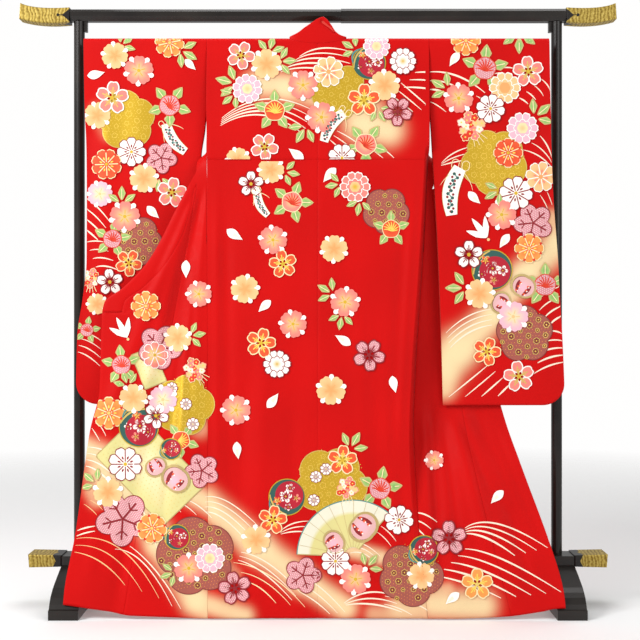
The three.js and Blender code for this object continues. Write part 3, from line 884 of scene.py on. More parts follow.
    def dots(self, centres: Sequence, radius: float, tint: Tint, level: float, gilt: bool = False) -> None:
        """Draw small six-sided dots.

        Args:
            centres: points in pixels.
            radius: radius of each dot in pixels.
            tint: their colour.
            level: layer number above the cloth.
            gilt: whether they are gold foil.
        """
        if not len(centres):
            return
        sides = 6
        angle = np.arange(sides) * FULL_TURN / sides
        rim = np.asarray(centres)[:, None] + radius * np.stack([np.cos(angle), np.sin(angle)], axis=1)[None]
        first = np.arange(len(centres))[:, None] * sides
        fan = np.stack([np.zeros(sides - 2, int), np.arange(1, sides - 1), np.arange(2, sides)], axis=1)
        self.put(rim.reshape(-1, 2), tint.rgb, (first[:, :, None] + fan[None]).reshape(-1, 3), level, gilt)


# Outlines: a radius in pixels for each angle
def lobed(radius: float, lobes: int = 2, depth: float = 0.0, power: float = 1.0) -> Outline:
    """Round lobes: radius times 1 - depth + depth |cos(n a / 2)|^power; a circle where depth is 0."""
    return lambda a: radius * (1 - depth + depth * np.abs(np.cos(lobes * a / 2)) ** power)


def scallop(radius: float, lobes: int, reach: float, notch: float = 0.0) -> Outline:
    """Outline round a ring of equal discs.

    Args:
        radius: greatest radius.
        lobes: number of discs.
        reach: radius of the ring of their centres, as a share.
        notch: depth of the notch in each, as a share.

    Returns:
        The outline.
    """
    half = math.pi / lobes

    def outline(a: Array) -> Array:
        """Radius at the angles a.

        Args:
            a: angles.

        Returns:
            Radius at each.
        """
        b = (a + half) % (2 * half) - half
        swell = np.sqrt(np.clip((1 - reach) ** 2 - (reach * np.sin(b)) ** 2, 0, None))
        return radius * (reach * np.cos(b) + swell) * (1 - notch * np.exp(-(b / (0.22 * half)) ** 2))
    return outline


def petal_shape(length: float, breadth: float, notch: float = 0.0) -> Outline:
    """Ellipse with a notch at its outer end, narrowed at its inner one.

    Args:
        length: half its length.
        breadth: half its breadth.
        notch: depth of the notch as a share.

    Returns:
        The outline.
    """
    def outline(a: Array) -> Array:
        """Radius at the angles a.

        Args:
            a: angles.

        Returns:
            Radius at each.
        """
        egg = 1 - 0.22 * np.clip(-np.cos(a), 0, 1) ** 2
        oval = length * breadth / np.sqrt((breadth * np.cos(a)) ** 2 + (length * np.sin(a)) ** 2)
        around = (a + math.pi) % FULL_TURN - math.pi
        return oval * egg * (1 - notch * np.exp(-(around / 0.30) ** 2))
    return outline


def spindle(long: float, broad: float) -> Outline:
    """Pointed oval of two half measures."""
    return lambda a: long * broad / (long * np.abs(np.sin(a)) ** 1.25 + broad * np.abs(np.cos(a)) ** 1.25)


def box_shape(half_width: float, half_height: float) -> Outline:
    """Rectangle of two half measures."""
    return lambda a: np.minimum(half_width / np.maximum(np.abs(np.cos(a)), 1e-6),
                                half_height / np.maximum(np.abs(np.sin(a)), 1e-6))


def clam(radius: float, share: float = 1.0) -> Outline:
    """Clam shell, flatter at its hinge, at a share of its size."""
    return lambda a: share * (0.98 * radius * (0.80 + 0.20 * np.cos(a)) / (1 - 0.16 * np.abs(np.sin(a))))


def lattice(at: Sequence[float], outline: Outline, gap: float, turn: float, margin: float = 0.5) -> Array:
    """Points of a staggered lattice inside an outline.

    Args:
        at: centre in pixels.
        outline: radius in pixels for an array of angles.
        gap: space between points.
        turn: turn in radians.
        margin: space kept clear along the edge.

    Returns:
        One row for each point.
    """
    size = float(outline(np.linspace(0, 6.28, 90)).max())
    run = np.arange(-size, size + gap, gap)
    px, py = np.meshgrid(run, run)
    px = px + (np.arange(len(run)) % 2)[:, None] * gap / 2
    angle, away = np.arctan2(py, px), np.hypot(px, py)
    keep = away < outline(angle % FULL_TURN) - margin
    px, py = px[keep], py[keep]
    c, s = math.cos(turn), math.sin(turn)
    return np.stack([at[0] + px * c - py * s, at[1] + px * s + py * c], axis=1)


class Look(Enum):
    """Colourings of a flower: outline, petal edge, petal heart, eye, stamens."""

    CORAL = (Tint.WHITE, Tint.CORAL, Tint.PEACH, Tint.GOLD, Tint.PALE_GOLD)
    PEACH = (Tint.WHITE, Tint.PEACH, Tint.APRICOT, Tint.APRICOT, Tint.CORAL)
    PINK = (Tint.WHITE, Tint.PINK, Tint.CREAM, Tint.PEACH, Tint.PEACH)
    WHITE = (Tint.WINE, Tint.WHITE, Tint.WHITE, Tint.GOLD, Tint.WINE)
    ORANGE = (Tint.CREAM, Tint.ORANGE, Tint.SCARLET, Tint.GOLD, Tint.YELLOW)
    AMBER = (Tint.CREAM, Tint.AMBER, Tint.ORANGE, Tint.PALE_GOLD, Tint.YELLOW)
    SHIBORI = (Tint.WINE, Tint.SHIBORI, Tint.SHIBORI, Tint.WINE, Tint.WINE)


class Kind(Enum):
    """Traditional motifs. Each value names the method of Brush that draws it."""

    CHERRY = "cherry"
    MUM = "chrysanthemum"
    PUFF = "puffed"
    FRILL = "frilled"
    PEONY = "peony"
    PETAL = "lone_petal"
    CLOUD = "plum_cloud"
    SHIBORI = "tie_dyed"
    BALL = "thread_ball"
    SHELL = "clam_shell"
    CRANE = "crane"
    CARD = "card"
    FAN = "fan"
    STREAMER = "streamer"
    FLORETS = "floret_ball"
    LEAVES = "leaves"


@dataclass(frozen=True)
class Brush:
    """Draws one motif about its centre (x, y), with radius r in pixels and turn in radians.

    Numbers in its methods are shares of r, levels above the cloth, and counts.
    """

    d: Drawing
    x: float
    y: float
    r: float
    turn: float
    look: Look

    @property
    def centre(self) -> Array:
        """The centre."""
        return np.array([self.x, self.y])

    @property
    def ahead(self) -> Array:
        """Unit vector in the motif's own direction."""
        return unit(self.turn)

    @property
    def across(self) -> Array:
        """Unit vector a quarter turn further on."""
        return np.array([-self.ahead[1], self.ahead[0]])

    def at(self, share: float, angle: float) -> tuple[float, float]:
        """Point at a share of the radius in a direction."""
        return self.x + share * self.r * math.cos(angle), self.y + share * self.r * math.sin(angle)

    def cherry(self) -> None:
        """Cherry blossom: five notched petals apart from one another, with stamens and an eye."""
        self.petals(breadth=0.36, notch=0.20)

    def petals(self, breadth: float, notch: float) -> None:
        """Ring of five petals with outlines, stamens and an eye.

        Args:
            breadth: half breadth of a petal.
            notch: depth of the notch in a petal's tip, as a share.
        """
        d, r = self.d, self.r
        rim, edge, _, eye, stamen = self.look.value
        line = max(0.55, 0.072 * r)
        gilt = stamen is Tint.PALE_GOLD
        for a in around(self.turn, 5):
            place = self.at(0.56, a)
            d.disc(place, petal_shape(0.44 * r, breadth * r, notch), rim, 1, a)
            inner = petal_shape(0.44 * r - line, max(breadth * r - line, 0.4), notch)
            d.disc(place, inner, edge, 2, a)
            if self.look is Look.SHIBORI:
                d.dots(lattice(place, inner, 1.9, a), 0.55, Tint.PALE_PINK, 3)
            d.line(self.at(0.10, a), self.at(0.62, a), 0.07 * r, stamen, 3, gilt)
            for lean in (-0.26, 0.26):
                d.line(self.at(0.10, a), self.at(0.46, a + lean), 0.05 * r, stamen, 3, gilt)
        d.disc(self.centre, lobed(0.13 * r, 5, 0.1), eye, 4)

    def chrysanthemum(self) -> None:
        """Round blossom of eight close petals, parted by drawn lines, with a drop-shaped stamen on each."""
        d, r, turn = self.d, self.r, self.turn
        rim, edge, heart, eye, stamen = self.look.value
        line = max(0.6, 0.062 * r)
        d.disc(self.centre, scallop(r, 8, 0.71, 0.05), rim, 0, turn)
        d.disc(self.centre, scallop(r - line, 8, 0.71, 0.05), edge, 1, turn, heart)
        for valley, axis in zip(around(turn, 8, 0.5), around(turn, 8)):
            d.line(self.at(0.14, valley), self.at(0.78, valley), line, rim, 2)
            if self.look in (Look.ORANGE, Look.AMBER):
                d.disc(self.at(0.80, valley), lobed(0.10 * r, 3, 0.3), Tint.SCARLET, 3, valley)
            d.disc(self.at(0.36, axis), petal_shape(0.13 * r, 0.05 * r), stamen, 2, axis, parts=8)
        d.disc(self.centre, lobed(0.11 * r, 5, 0.1), eye, 3)

    def puffed(self) -> None:
        """Five broad soft petals with white tufts between them, fading to a warm heart."""
        d, r, turn = self.d, self.r, self.turn
        _, edge, heart, eye, _ = self.look.value
        for a in around(turn, 5, 0.5):
            d.disc(self.at(0.74, a), scallop(0.29 * r, 3, 0.45), Tint.WHITE, 0, a)
        d.disc(self.centre, scallop(r, 5, 0.625, 0.10), edge, 1, turn, heart, parts=60)
        for a in around(turn, 5):
            d.line(self.at(0.16, a), self.at(0.42, a), 0.05 * r, eye, 2)
        d.disc(self.centre, lobed(0.12 * r, 5, 0.1), eye, 3)

    def frilled(self) -> None:
        """Double blossom: ten outer petals in a drawn outline round an inner ring of eight."""
        d, r, turn = self.d, self.r, self.turn
        rim, edge, heart, eye, _ = self.look.value
        line = max(0.55, 0.06 * r)
        d.disc(self.centre, scallop(r, 10, 0.76, 0.06), rim, 0, turn)
        d.disc(self.centre, scallop(r - 1.3 * line, 10, 0.76, 0.06), edge, 1, turn, edge)
        for a in around(turn, 10, 0.5):
            d.line(self.at(0.50, a), self.at(0.82, a), 0.8 * line, rim, 2)
        d.band(self.centre, scallop(0.56 * r, 8, 0.71), 0.8 * line, rim, 3, turn)
        d.disc(self.centre, lobed(0.34 * r, 6, 0.1), heart, 3, turn, eye)

    def leaf(self, reach: float, angle: float, length: float, level: float, breadth: float = 0.33) -> None:
        """A pointed green leaf with a tan edge and a pale midrib.

        Args:
            reach: share of the radius at which it starts.
            angle: direction in radians.
            length: its length in pixels.
            level: layer number of its edge.
            breadth: half its breadth as a share of its length.
        """
        stem = Brush(self.d, *self.at(reach, angle), length, angle, self.look)
        middle = stem.at(0.5, angle)
        self.d.disc(middle, spindle(0.52 * length, breadth * length), Tint.TAN, level, angle)
        self.d.disc(middle, spindle(0.44 * length, (breadth - 0.07) * length), Tint.LEAF, level + 1, angle,
                    Tint.LEAF_DARK)
        self.d.line(stem.at(0.10, angle), stem.at(0.82, angle), 0.055 * length, Tint.CREAM, level + 2)

    def leaves(self) -> None:
        """Three leaves that fan out round one point."""
        for k in (-1, 0, 1):
            self.leaf(0.32, self.turn + 0.95 * k, self.r * (1.3 - 0.12 * abs(k)), 0.1 * k, 0.27)

    def peony(self) -> None:
        """Rounded camellia bud among five leaves, its petals drawn as curled lines."""
        d, r, turn = self.d, self.r, self.turn
        _, edge, heart, _, _ = self.look.value
        dotted = self.look is Look.SHIBORI
        for a in around(turn, 5):
            self.leaf(0.34, a, 0.92 * r, -3)
        bud = lobed(0.57 * r, 5, 0.06)
        d.disc(self.centre, lobed(0.62 * r, 5, 0.06), Tint.SCARLET if dotted else Tint.CREAM, 0, turn)
        d.disc(self.centre, bud, edge, 1, turn, heart)
        if dotted:
            d.dots(lattice(self.centre, bud, 1.9, turn), 0.5, Tint.PALE_PINK, 2)
        ink = Tint.YELLOW if self.look in (Look.ORANGE, Look.AMBER) else Tint.SCARLET
        for k in range(9):
            a = turn + (k - 4) * 0.42
            knots = (self.at(-0.16, turn), self.at(0.30, a + 0.25), self.at(0.48 + 0.06 * (k % 2), a))
            d.curve(knots, 0.075 * r, ink, 3)

    def lone_petal(self) -> None:
        """One white petal adrift: a slightly bent drop, round at the end that it is turned to."""
        share = np.linspace(0, 1, 15)
        bend = 0.18 * self.r * (share[:, None] - 0.5) ** 2 * self.across
        track = self.centre + (2 * share[:, None] - 1) * self.r * self.ahead + bend
        breadth = 0.98 * self.r * np.sin(math.pi * share ** 1.45) ** 0.8
        self.d.stroke(track, breadth, Tint.WHITE, 0)
        self.d.stroke(track[2:9], 0.35 * breadth[2:9], Tint.WARM_WHITE, 1)

    def plum_cloud(self) -> None:
        """Large plum-blossom shape: gold foil with fine dots, or brown with small gold flowers."""
        d, turn = self.d, self.turn
        golden = self.look is Look.AMBER
        whole = lobed(self.r, 5, 0.17, 0.75)
        d.disc(self.centre, whole, Tint.GOLD if golden else Tint.BROWN, 0, turn, None, golden)
        d.band(self.centre, whole, 0.8, Tint.PALE_GOLD if golden else Tint.PLUM, 1, turn, golden)
        d.dots(lattice(self.centre, whole, 3.1, turn + 0.3, 1.6), 0.42, Tint.YELLOW if golden else Tint.AMBER, 1, True)
        for k, flower in enumerate(lattice(self.centre, whole, 9.5, turn + 0.9, 4.0)):
            size = 2.5 + 0.5 * (k % 3)
            if golden:
                d.band(flower, lobed(size, 5, 0.25), 0.5, Tint.YELLOW, 1, k, True)
            else:
                d.disc(flower, lobed(size, 6, 0.2), Tint.PLUM, 1, k)
                d.band(flower, lobed(size, 6, 0.2), 0.6, Tint.PALE_GOLD, 2, k, True)
                d.dots([flower], 0.8, Tint.YELLOW, 3, True)

    def tie_dyed(self) -> None:
        """Tie-dyed blossom or maple leaf: pale dots on pink in a wine-red outline, with drawn ribs."""
        d, r, turn = self.d, self.r, self.turn
        depth, power = (0.30, 0.9) if self.look is Look.CORAL else (0.22, 0.5)
        inner = lobed(r - 1.0, 5, depth, power)
        d.disc(self.centre, lobed(r, 5, depth, power), Tint.WINE, 0, turn)
        d.disc(self.centre, inner, Tint.SHIBORI, 1, turn)
        d.dots(lattice(self.centre, inner, 1.95, turn), 0.56, Tint.PALE_PINK, 2)
        for a in around(turn, 5):
            d.line(self.centre, self.at(0.74, a), 0.07 * r, Tint.WINE, 3)
            for side in (-0.34, 0.34):
                d.line(self.at(0.42, a), self.at(0.62, a + side), 0.05 * r, Tint.WINE, 3)

    def thread_ball(self) -> None:
        """Temari: a ball with a gold rim, dark bands of its winding and small white and red blossoms."""
        d, r, turn = self.d, self.r, self.turn
        d.disc(self.centre, lobed(r), Tint.GOLD, 0, 0, None, True)
        d.disc(self.centre, lobed(r - 0.9), Tint.DEEP_TEAL, 1)
        d.disc(self.at(0.16, turn), lobed(0.76 * r), Tint.CRIMSON, 2)
        for shift, tint in ((-0.62, Tint.PALE_GOLD), (-0.80, Tint.TEAL)):
            span = math.sqrt(0.88 - shift * shift)
            ends = [self.centre + r * (shift * self.ahead + s * span * self.across) for s in (-1, 1)]
            knots = (ends[0], self.centre + 1.7 * shift * r * self.ahead, ends[1])
            d.curve(knots, 0.10 * r, tint, 3, tint is Tint.PALE_GOLD, taper=0.6)
        blossoms = ((0.08, 0.40, Look.WHITE), (0.52, 0.30, Look.WHITE), (0.50, 0.27, Look.CORAL),
                    (0.54, 0.24, Look.WHITE), (0.56, 0.27, Look.ORANGE))
        for k, (reach, size, look) in enumerate(blossoms):
            a = turn + k * 1.35 - 1.9
            Brush(d, *self.at(reach, a), size * r, a, look).petals(breadth=0.38, notch=0.1)

    def clam_shell(self) -> None:
        """Painted clam shell: a rounded half with a ribbed gold edge and a band of small painted blossoms."""
        d, r, turn = self.d, self.r, self.turn
        d.disc(self.centre, clam(r), Tint.PLUM, 0, turn)
        d.band(self.centre, clam(r), 0.16 * r, Tint.TAN, 1, turn, True)
        d.disc((self.x + 0.02 * r, self.y), clam(r, 0.82), Tint.SHELL, 2, turn, Tint.PINK)
        for k in (-1, 1):
            side = self.across * k * 0.22 * r
            end = self.centre + side + 0.5 * r * unit(turn + k * 0.5)
            knots = (self.centre + side - 0.45 * r * self.ahead, self.centre + 2.0 * side, end)
            d.curve(knots, 0.26 * r, Tint.WINE, 3)
            spots = np.array([self.centre + side * 1.4 + s * 0.3 * r * self.ahead for s in (-1, 0, 1)])
            d.dots(spots, 0.09 * r, Tint.ORANGE, 4)
            d.dots(spots + 0.06 * r, 0.05 * r, Tint.WHITE, 5)

    def crane(self) -> None:
        """Small white bird in three pointed strokes with a dot for its head."""
        for angle, long in ((-0.60, 1.65), (0.0, 1.85), (0.58, 1.65)):
            a = self.turn + angle
            self.d.disc(self.at(0.5 * long, a), spindle(0.55 * long * self.r, 0.25 * self.r), Tint.WHITE, 1, a)
        self.d.dots([self.at(-0.22, self.turn)], 0.13 * self.r, Tint.PEACH, 2)

    def card(self) -> None:
        """Square of decorated paper: pale gold ground, a gold border line and scattered gold."""
        d, r, turn = self.d, self.r, self.turn
        square = box_shape(r, 0.62 * r)
        d.disc(self.centre, square, Tint.PAPER, 0, turn, Tint.CREAM, parts=72)
        d.band(self.centre, square, 1.0, Tint.TAN, 1, turn, True)
        d.dots(lattice(self.centre, box_shape(0.92 * r, 0.56 * r), 4.2, turn), 0.45, Tint.PALE_GOLD, 1, True)

    def fan(self) -> None:
        """Open fan: a sector of paper in ribs, with a pale outer border and a gold edge."""
        d, half_open = self.d, 1.12
        angle = np.linspace(self.turn - half_open, self.turn + half_open, 40)[None, :]
        share = np.linspace(0.16, 1, 14)[:, None]
        points = np.stack([self.x + share * self.r * np.cos(angle), self.y + share * self.r * np.sin(angle)], axis=2)
        quads = grid_faces(*points.shape[:2])
        pale = np.broadcast_to(share > 0.78, points.shape[:2])
        colours = np.where(pale[..., None], Tint.MIST.rgb, Tint.PAPER.rgb).reshape(-1, 3)
        d.put(points.reshape(-1, 2), colours, np.concatenate([quads[:, [0, 1, 2]], quads[:, [0, 2, 3]]]), 0)
        d.stroke(points[-1], 1.0, Tint.TEAL, 1)
        for edge in (0, -1):
            d.stroke(points[:, edge], 1.0, Tint.TAN, 1, True)
        for k in range(3, points.shape[1] - 1, 4):
            d.stroke(points[:, k], 0.4, Tint.TAN, 1, True)

    def streamer(self) -> None:
        """Paper strip that hangs in a slight curve from a small knotted cord, with a printed row of marks."""
        d, r, centre, ahead, across = self.d, self.r, self.centre, self.ahead, self.across
        share = np.linspace(0, 1, 15)[:, None]
        track = centre + share * r * ahead + 0.11 * r * np.sin(math.pi * share) * across
        breadth = 0.33 * r * (0.62 + 0.38 * np.sin(math.pi * (0.15 + 0.8 * share[:, 0])))
        d.stroke(track, breadth + 0.9, Tint.TAN, 0)
        d.stroke(track, breadth, Tint.WHITE, 1)
        sway = 0.05 * r * np.array([1, -1, 0.4, -0.7, 0.9, -0.2] * 2)[:, None] * across
        d.dots(track[2:14] + sway, 0.036 * r, Tint.DEEP_TEAL, 8)
        d.dots(track[2:14] - 1.2 * sway, 0.028 * r, Tint.WINE, 8)
        d.stroke(track[2:13] + 0.8 * sway[:11], 0.02 * r + 0.25, Tint.TEAL, 8)
        for side in (-1, 1):
            d.band(centre - 0.06 * r * ahead + side * 0.11 * r * across, lobed(0.11 * r, 2, 0.3), 0.7, Tint.CREAM,
                   2, self.turn)
            end = centre + 0.42 * r * ahead + side * 0.34 * r * across
            d.curve((centre, 0.5 * (centre + end) + side * 0.1 * r * across, end), 0.7, Tint.CREAM, 2)

    def floret_ball(self) -> None:
        """Bunch of small red, coral and cream florets with a few stems."""
        d, r = self.d, self.r
        count, golden_angle = 14, 2.399
        for k in range(4):
            d.line(self.centre, self.at(1.25, self.turn + 2.2 + 0.25 * k), 0.6, Tint.CREAM, 0)
        for k in range(count):
            a = self.turn + golden_angle * k
            place = self.centre + 0.78 * r * math.sqrt((k + 0.4) / count) * unit(a)
            tint = (Tint.SCARLET, Tint.CORAL, Tint.WARM_WHITE, Tint.PEACH)[k % 4]
            d.disc(place, lobed(0.30 * r, 5, 0.30), Tint.CREAM if k % 4 < 2 else Tint.CORAL, 1 + 0.05 * k, a)
            d.disc(place, lobed(0.25 * r, 5, 0.30), tint, 2 + 0.05 * k, a)
            d.dots([place], 0.06 * r, Tint.YELLOW, 3.5)


@dataclass(frozen=True)
class Motif:
    """A motif placed on the photograph's frame: pixels across and down, radius, turn in degrees."""

    kind: Kind
    look: Look
    x: float
    y: float
    r: float
    turn: float = 0.0

    def draw(self, d: Drawing) -> None:
        """Draw it with the method of Brush that its kind names."""
        getattr(Brush(d, self.x, self.y, self.r, math.radians(self.turn), self.look), self.kind.value)()


@dataclass(frozen=True)
class Stream:
    """A bundle of water lines between a first and a last curve of three points each, in pixels."""

    first: tuple[float, float, float, float, float, float]
    last: tuple[float, float, float, float, float, float]
    lines: int
    width: float
    tint: Tint = Tint.WARM_WHITE

    def draw(self, d: Drawing) -> None:
        """Draw the lines on the lowest level, in slightly different breadths.

        Args:
            d: drawing that takes them.
        """
        for k in range(self.lines):
            knots = mix(np.array(self.first, float), np.array(self.last, float), k / max(self.lines - 1, 1))
            d.curve(knots, self.width * (0.95 + 0.45 * math.sin(2.4 * k + 0.6) ** 2), self.tint, STREAM_LEVEL)


# Heights of the pattern's layers over the cloth: ground, tiers, every second motif, one level within a motif
TIERS = {Kind.CLOUD: 0, Kind.CARD: 0, Kind.FAN: 0, Kind.SHIBORI: 1, Kind.BALL: 1, Kind.SHELL: 1,
         Kind.STREAMER: 1, Kind.FLORETS: 1, Kind.PEONY: 1}
BASE_LIFT, TIER_LIFT, TURN_LIFT, LEVEL_LIFT = 1.15, 0.60, 0.60, 0.12
TOP_TIER = 2
STREAM_LEVEL = -4
THINNEST_FACE = 0.03
WIDEST_FACE = 60.0


@dataclass
class Canvas:
    """One stretch of cloth that takes a pattern: where its surface is, and how far the pattern may reach."""

    name: str
    depth: Callable[[Array, Array], Array]
    sides: Callable[[Array], tuple[Array, Array]]
    floor: Callable[[Array], Array]
    ceiling: Callable[[Array], Array]
    motifs: Sequence[Motif]
    streams: Sequence[Stream] = ()
    facing: float = -1.0

    def draw(self) -> Drawing:
        """Draw streams and motifs, each motif on its own tier.

        Returns:
            The drawing.
        """
        d = Drawing(LEVEL_LIFT, BASE_LIFT)
        for stream in self.streams:
            stream.draw(d)
        for number, m in enumerate(self.motifs):
            d.lift = BASE_LIFT + TIER_LIFT * TIERS.get(m.kind, TOP_TIER) + TURN_LIFT * (number % 2)
            m.draw(d)
        return d

    def lay(self, dye: bpy.types.Material, foil: bpy.types.Material) -> bpy.types.Object:
        """Lay the drawing on the cloth: find each corner's place, hold it inside the stretch and mesh it.

        Args:
            dye: material of the motifs.
            foil: material of their gold.

        Returns:
            The piece.
        """
        d = self.draw()
        pixels = np.concatenate(d.points)
        lift = np.concatenate(d.levels) + WALL / 2
        colours = np.concatenate(d.colours)
        faces = np.concatenate(d.faces)
        gilt = np.concatenate(d.gilt)
        y = np.full(len(pixels), -100.0)
        for _ in range(4):
            x, z = VIEW.place(pixels[:, 0], pixels[:, 1], y)
            x, z = self.hold(x, z)
            y = self.depth(x, z)
        points = np.stack([x, y + self.facing * lift, z], axis=1)
        a, b, c = (points[faces[:, k]] for k in range(3))
        solid = np.linalg.norm(np.cross(b - a, c - a), axis=1) > THINNEST_FACE
        flat = np.ptp(np.stack([a[:, 0], b[:, 0], c[:, 0]]), axis=0) < WIDEST_FACE
        faces, gilt = faces[solid & flat], gilt[solid & flat]
        used, faces = np.unique(faces, return_inverse=True)
        piece = new_mesh(self.name, points[used], [faces.reshape(-1, 3)], points[used][:, [0, 2]] * MM,
                         colours[used], gilt)
        piece.data.materials.append(dye)
        piece.data.materials.append(foil)
        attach(piece, "root")
        LOG.info("%s: %d faces", piece.name, len(piece.data.polygons))
        return piece

    def hold(self, x: Array, z: Array) -> tuple[Array, Array]:
        """Hold places inside the stretch.

        Args:
            x: places across.
            z: heights.

        Returns:
            The places, moved inside where they lay beyond.
        """
        z = np.clip(z, self.floor(x), self.ceiling(x))
        low, high = self.sides(z)
        return np.clip(x, low, high), z


def folded_top(y: Array, z: Array, facing: float) -> Array:
    """Depth of cloth over the rod above its axis, and the given depth below it."""
    over = ROD_Y + facing * np.sqrt(np.clip(FOLD_RADIUS ** 2 - (z - ROD_Z) ** 2, 0, None))
    return np.where(z > ROD_Z, over, y)


def wing_depth(side: str, x: Array, z: Array) -> Array:
    """Depth of an opened front below the armpit, at a place across and up, its hem's lift taken off.

    Args:
        side: left or right.
        x: places across.
        z: heights.

    Returns:
        Depth of the middle surface.
    """
    hung = z
    for _ in range(3):
        hung = z - HEM(x) * (1 - ease(hung / 500))
    z = hung
    row = FrontRow(side, z)
    share = (np.abs(x) - row.start) / row.breadth
    return row.y + body_relief(side, x, z) * ease((TURN_END - z) / 60) * ease(share * 6)


def body_depth(x: Array, z: Array) -> Array:
    """Depth of the lower back and the left wing together.

    Args:
        x: places across.
        z: heights.

    Returns:
        Depth of the middle surface.
    """
    turned = (x - BACK_EDGE["right"](z)) / np.maximum(SEAM_SETBACK(z), 1)
    back = mix(back_front_y(x, z), RIGHT_FRONT_Y(z), ease(turned))
    return np.where(x < -BACK_EDGE["left"](z) - 1, wing_depth("left", x, z), back)


def sleeve_depth(side: str, to_viewer: float) -> Callable[[Array, Array], Array]:
    """Depth function of one wall of a sleeve.

    Args:
        side: left or right.
        to_viewer: 1 for the near wall, -1 for the far one.

    Returns:
        The function of places across and heights.
    """
    def depth(x: Array, z: Array) -> Array:
        """Depth of the wall's middle surface.

        Args:
            x: places across.
            z: heights.

        Returns:
            Depth at each place.
        """
        inner, outer = SLEEVE_INNER[side](z), SLEEVE_OUTER[side](z)
        u = np.clip((np.abs(x) - inner) / (outer - inner), 0, 1)
        return folded_top(sleeve_y(side, u, z, to_viewer), z, -to_viewer)
    return depth


def sleeve_sides(side: str) -> Callable[[Array], tuple[Array, Array]]:
    """Limits across of a sleeve's pattern.

    Args:
        side: left or right.

    Returns:
        The function that gives both limits at a height.
    """
    def sides(z: Array) -> tuple[Array, Array]:
        """Both limits at a height."""
        near, far = SLEEVE_INNER[side](z) + 2, SLEEVE_OUTER[side](z) - 1.2
        return (-far, -near) if side == "left" else (near, far)
    return sides


def sleeve_floor(side: str) -> Callable[[Array], Array]:
    """Lowest height of a sleeve's pattern: its bottom with the rounded corner.

    Args:
        side: left or right.

    Returns:
        The function that gives the lowest height at a place across.
    """
    corner = SLEEVE_OUTER[side](SLEEVE_BOTTOM) - SLEEVE_CORNER

    def floor(x: Array) -> Array:
        """Lowest height at a place across."""
        into = np.clip((np.abs(x) - corner) / SLEEVE_CORNER, 0, 0.995)
        return SLEEVE_BOTTOM + 2.5 + SLEEVE_CORNER * (1 - np.sqrt(1 - into * into))
    return floor


def neckline(x: Array) -> Array:
    """Highest place of the back's pattern: the shoulder crest, cut down at the neck."""
    down = over_shoulder(neck_cut(np.clip(x, -NECK_HALF, NECK_HALF)) + 3.0, 1)[1]
    return np.where(np.abs(x) < NECK_HALF + 3, down - 1.5, ROD_Z + FOLD_RADIUS - 1.2)


def level(height: float) -> Callable[[Array], Array]:
    """The same height everywhere."""
    return lambda x: np.full(np.shape(x), height)


def hem_floor(x: Array) -> Array:
    """Lowest height of the body's pattern: just over the lifted hem."""
    return HEM(x) + 3.0


def back_sides(z: Array) -> tuple[Array, Array]:
    """Limits across of the upper back's pattern."""
    return -BACK_EDGE["left"](z) + 1.2, BACK_EDGE["right"](z) - 4.0


def body_sides(z: Array) -> tuple[Array, Array]:
    """Limits across of the lower back and the left wing.

    Args:
        z: heights.

    Returns:
        Both limits.
    """
    edge = np.where(z < TURN_END - 6, WING_EDGE["left"](z) - 2.0, BACK_EDGE["left"](z) - 1.2)
    turned = np.where(z < SLEEVE_BOTTOM, SEAM_SETBACK(z) + 1.5, -4.0)
    return -edge, BACK_EDGE["right"](z) + turned


def right_wing_sides(z: Array) -> tuple[Array, Array]:
    """Limits across of the right wing."""
    return BACK_EDGE["right"](z) + SEAM_SETBACK(z) + 1.5, WING_EDGE["right"](z) - 2.0


def chest_sides(side: str) -> Callable[[Array], tuple[Array, Array]]:
    """Limits across of a front behind the shoulder, where it hangs gathered to the side seam.

    Args:
        side: left or right.

    Returns:
        The function that gives both limits at a height.
    """
    def sides(z: Array) -> tuple[Array, Array]:
        """Both limits at a height.

        Args:
            z: heights.

        Returns:
            Both limits.
        """
        row = FrontRow(side, np.asarray(z, float))
        near, far = row.start - row.breadth + row.collar + 2, row.start - 2
        return (-far, -near) if side == "left" else (near, far)
    return sides


# Short names for the tables of motifs, whose rows follow the fields of Motif and Stream
K, L = Kind, Look
BACK_MOTIFS = table(
    Motif,
    (K.CLOUD, L.AMBER, 340, 92, 29, 20), (K.CHERRY, L.CORAL, 241, 55.7, 15, -65),
    (K.PUFF, L.PEACH, 266.7, 64.4, 16, -20), (K.LEAVES, L.PEACH, 269, 53, 11, -75),
    (K.LEAVES, L.PEACH, 279, 62, 11, -5), (K.FRILL, L.PINK, 247.4, 89, 15.5, 10),
    (K.LEAVES, L.PEACH, 236, 84, 13, -165), (K.LEAVES, L.PEACH, 235, 94, 10, 140),
    (K.PUFF, L.CORAL, 303, 85.3, 15.5, -18), (K.PEONY, L.ORANGE, 274.5, 110.8, 17, -90),
    (K.CHERRY, L.CORAL, 264.6, 147, 15, -60), (K.PETAL, L.WHITE, 296.3, 154.4, 9.5, 39),
    (K.PUFF, L.PEACH, 238, 160, 13, 0), (K.MUM, L.PEACH, 328.5, 72, 16, 12), (K.BALL, L.CORAL, 369, 63, 17, 30),
    (K.FRILL, L.PINK, 376.5, 46.6, 14, 0), (K.LEAVES, L.PEACH, 356, 50, 10, -150),
    (K.FRILL, L.WHITE, 402.8, 61.4, 14.5, 0), (K.PUFF, L.CORAL, 321.4, 117.4, 16, 70),
    (K.PUFF, L.PEACH, 384.5, 85.5, 16, 15), (K.LEAVES, L.PEACH, 306, 126, 12, 120),
    (K.CHERRY, L.ORANGE, 363.9, 100.3, 17.5, -88), (K.STREAMER, L.CORAL, 344, 113, 35, 125),
    (K.CHERRY, L.SHIBORI, 397.5, 111.5, 16, 20), (K.LEAVES, L.PEACH, 377, 108, 10, 60),
    (K.PEONY, L.CORAL, 365.6, 144.5, 18, -55), (K.MUM, L.WHITE, 342, 158, 15, 22),
)
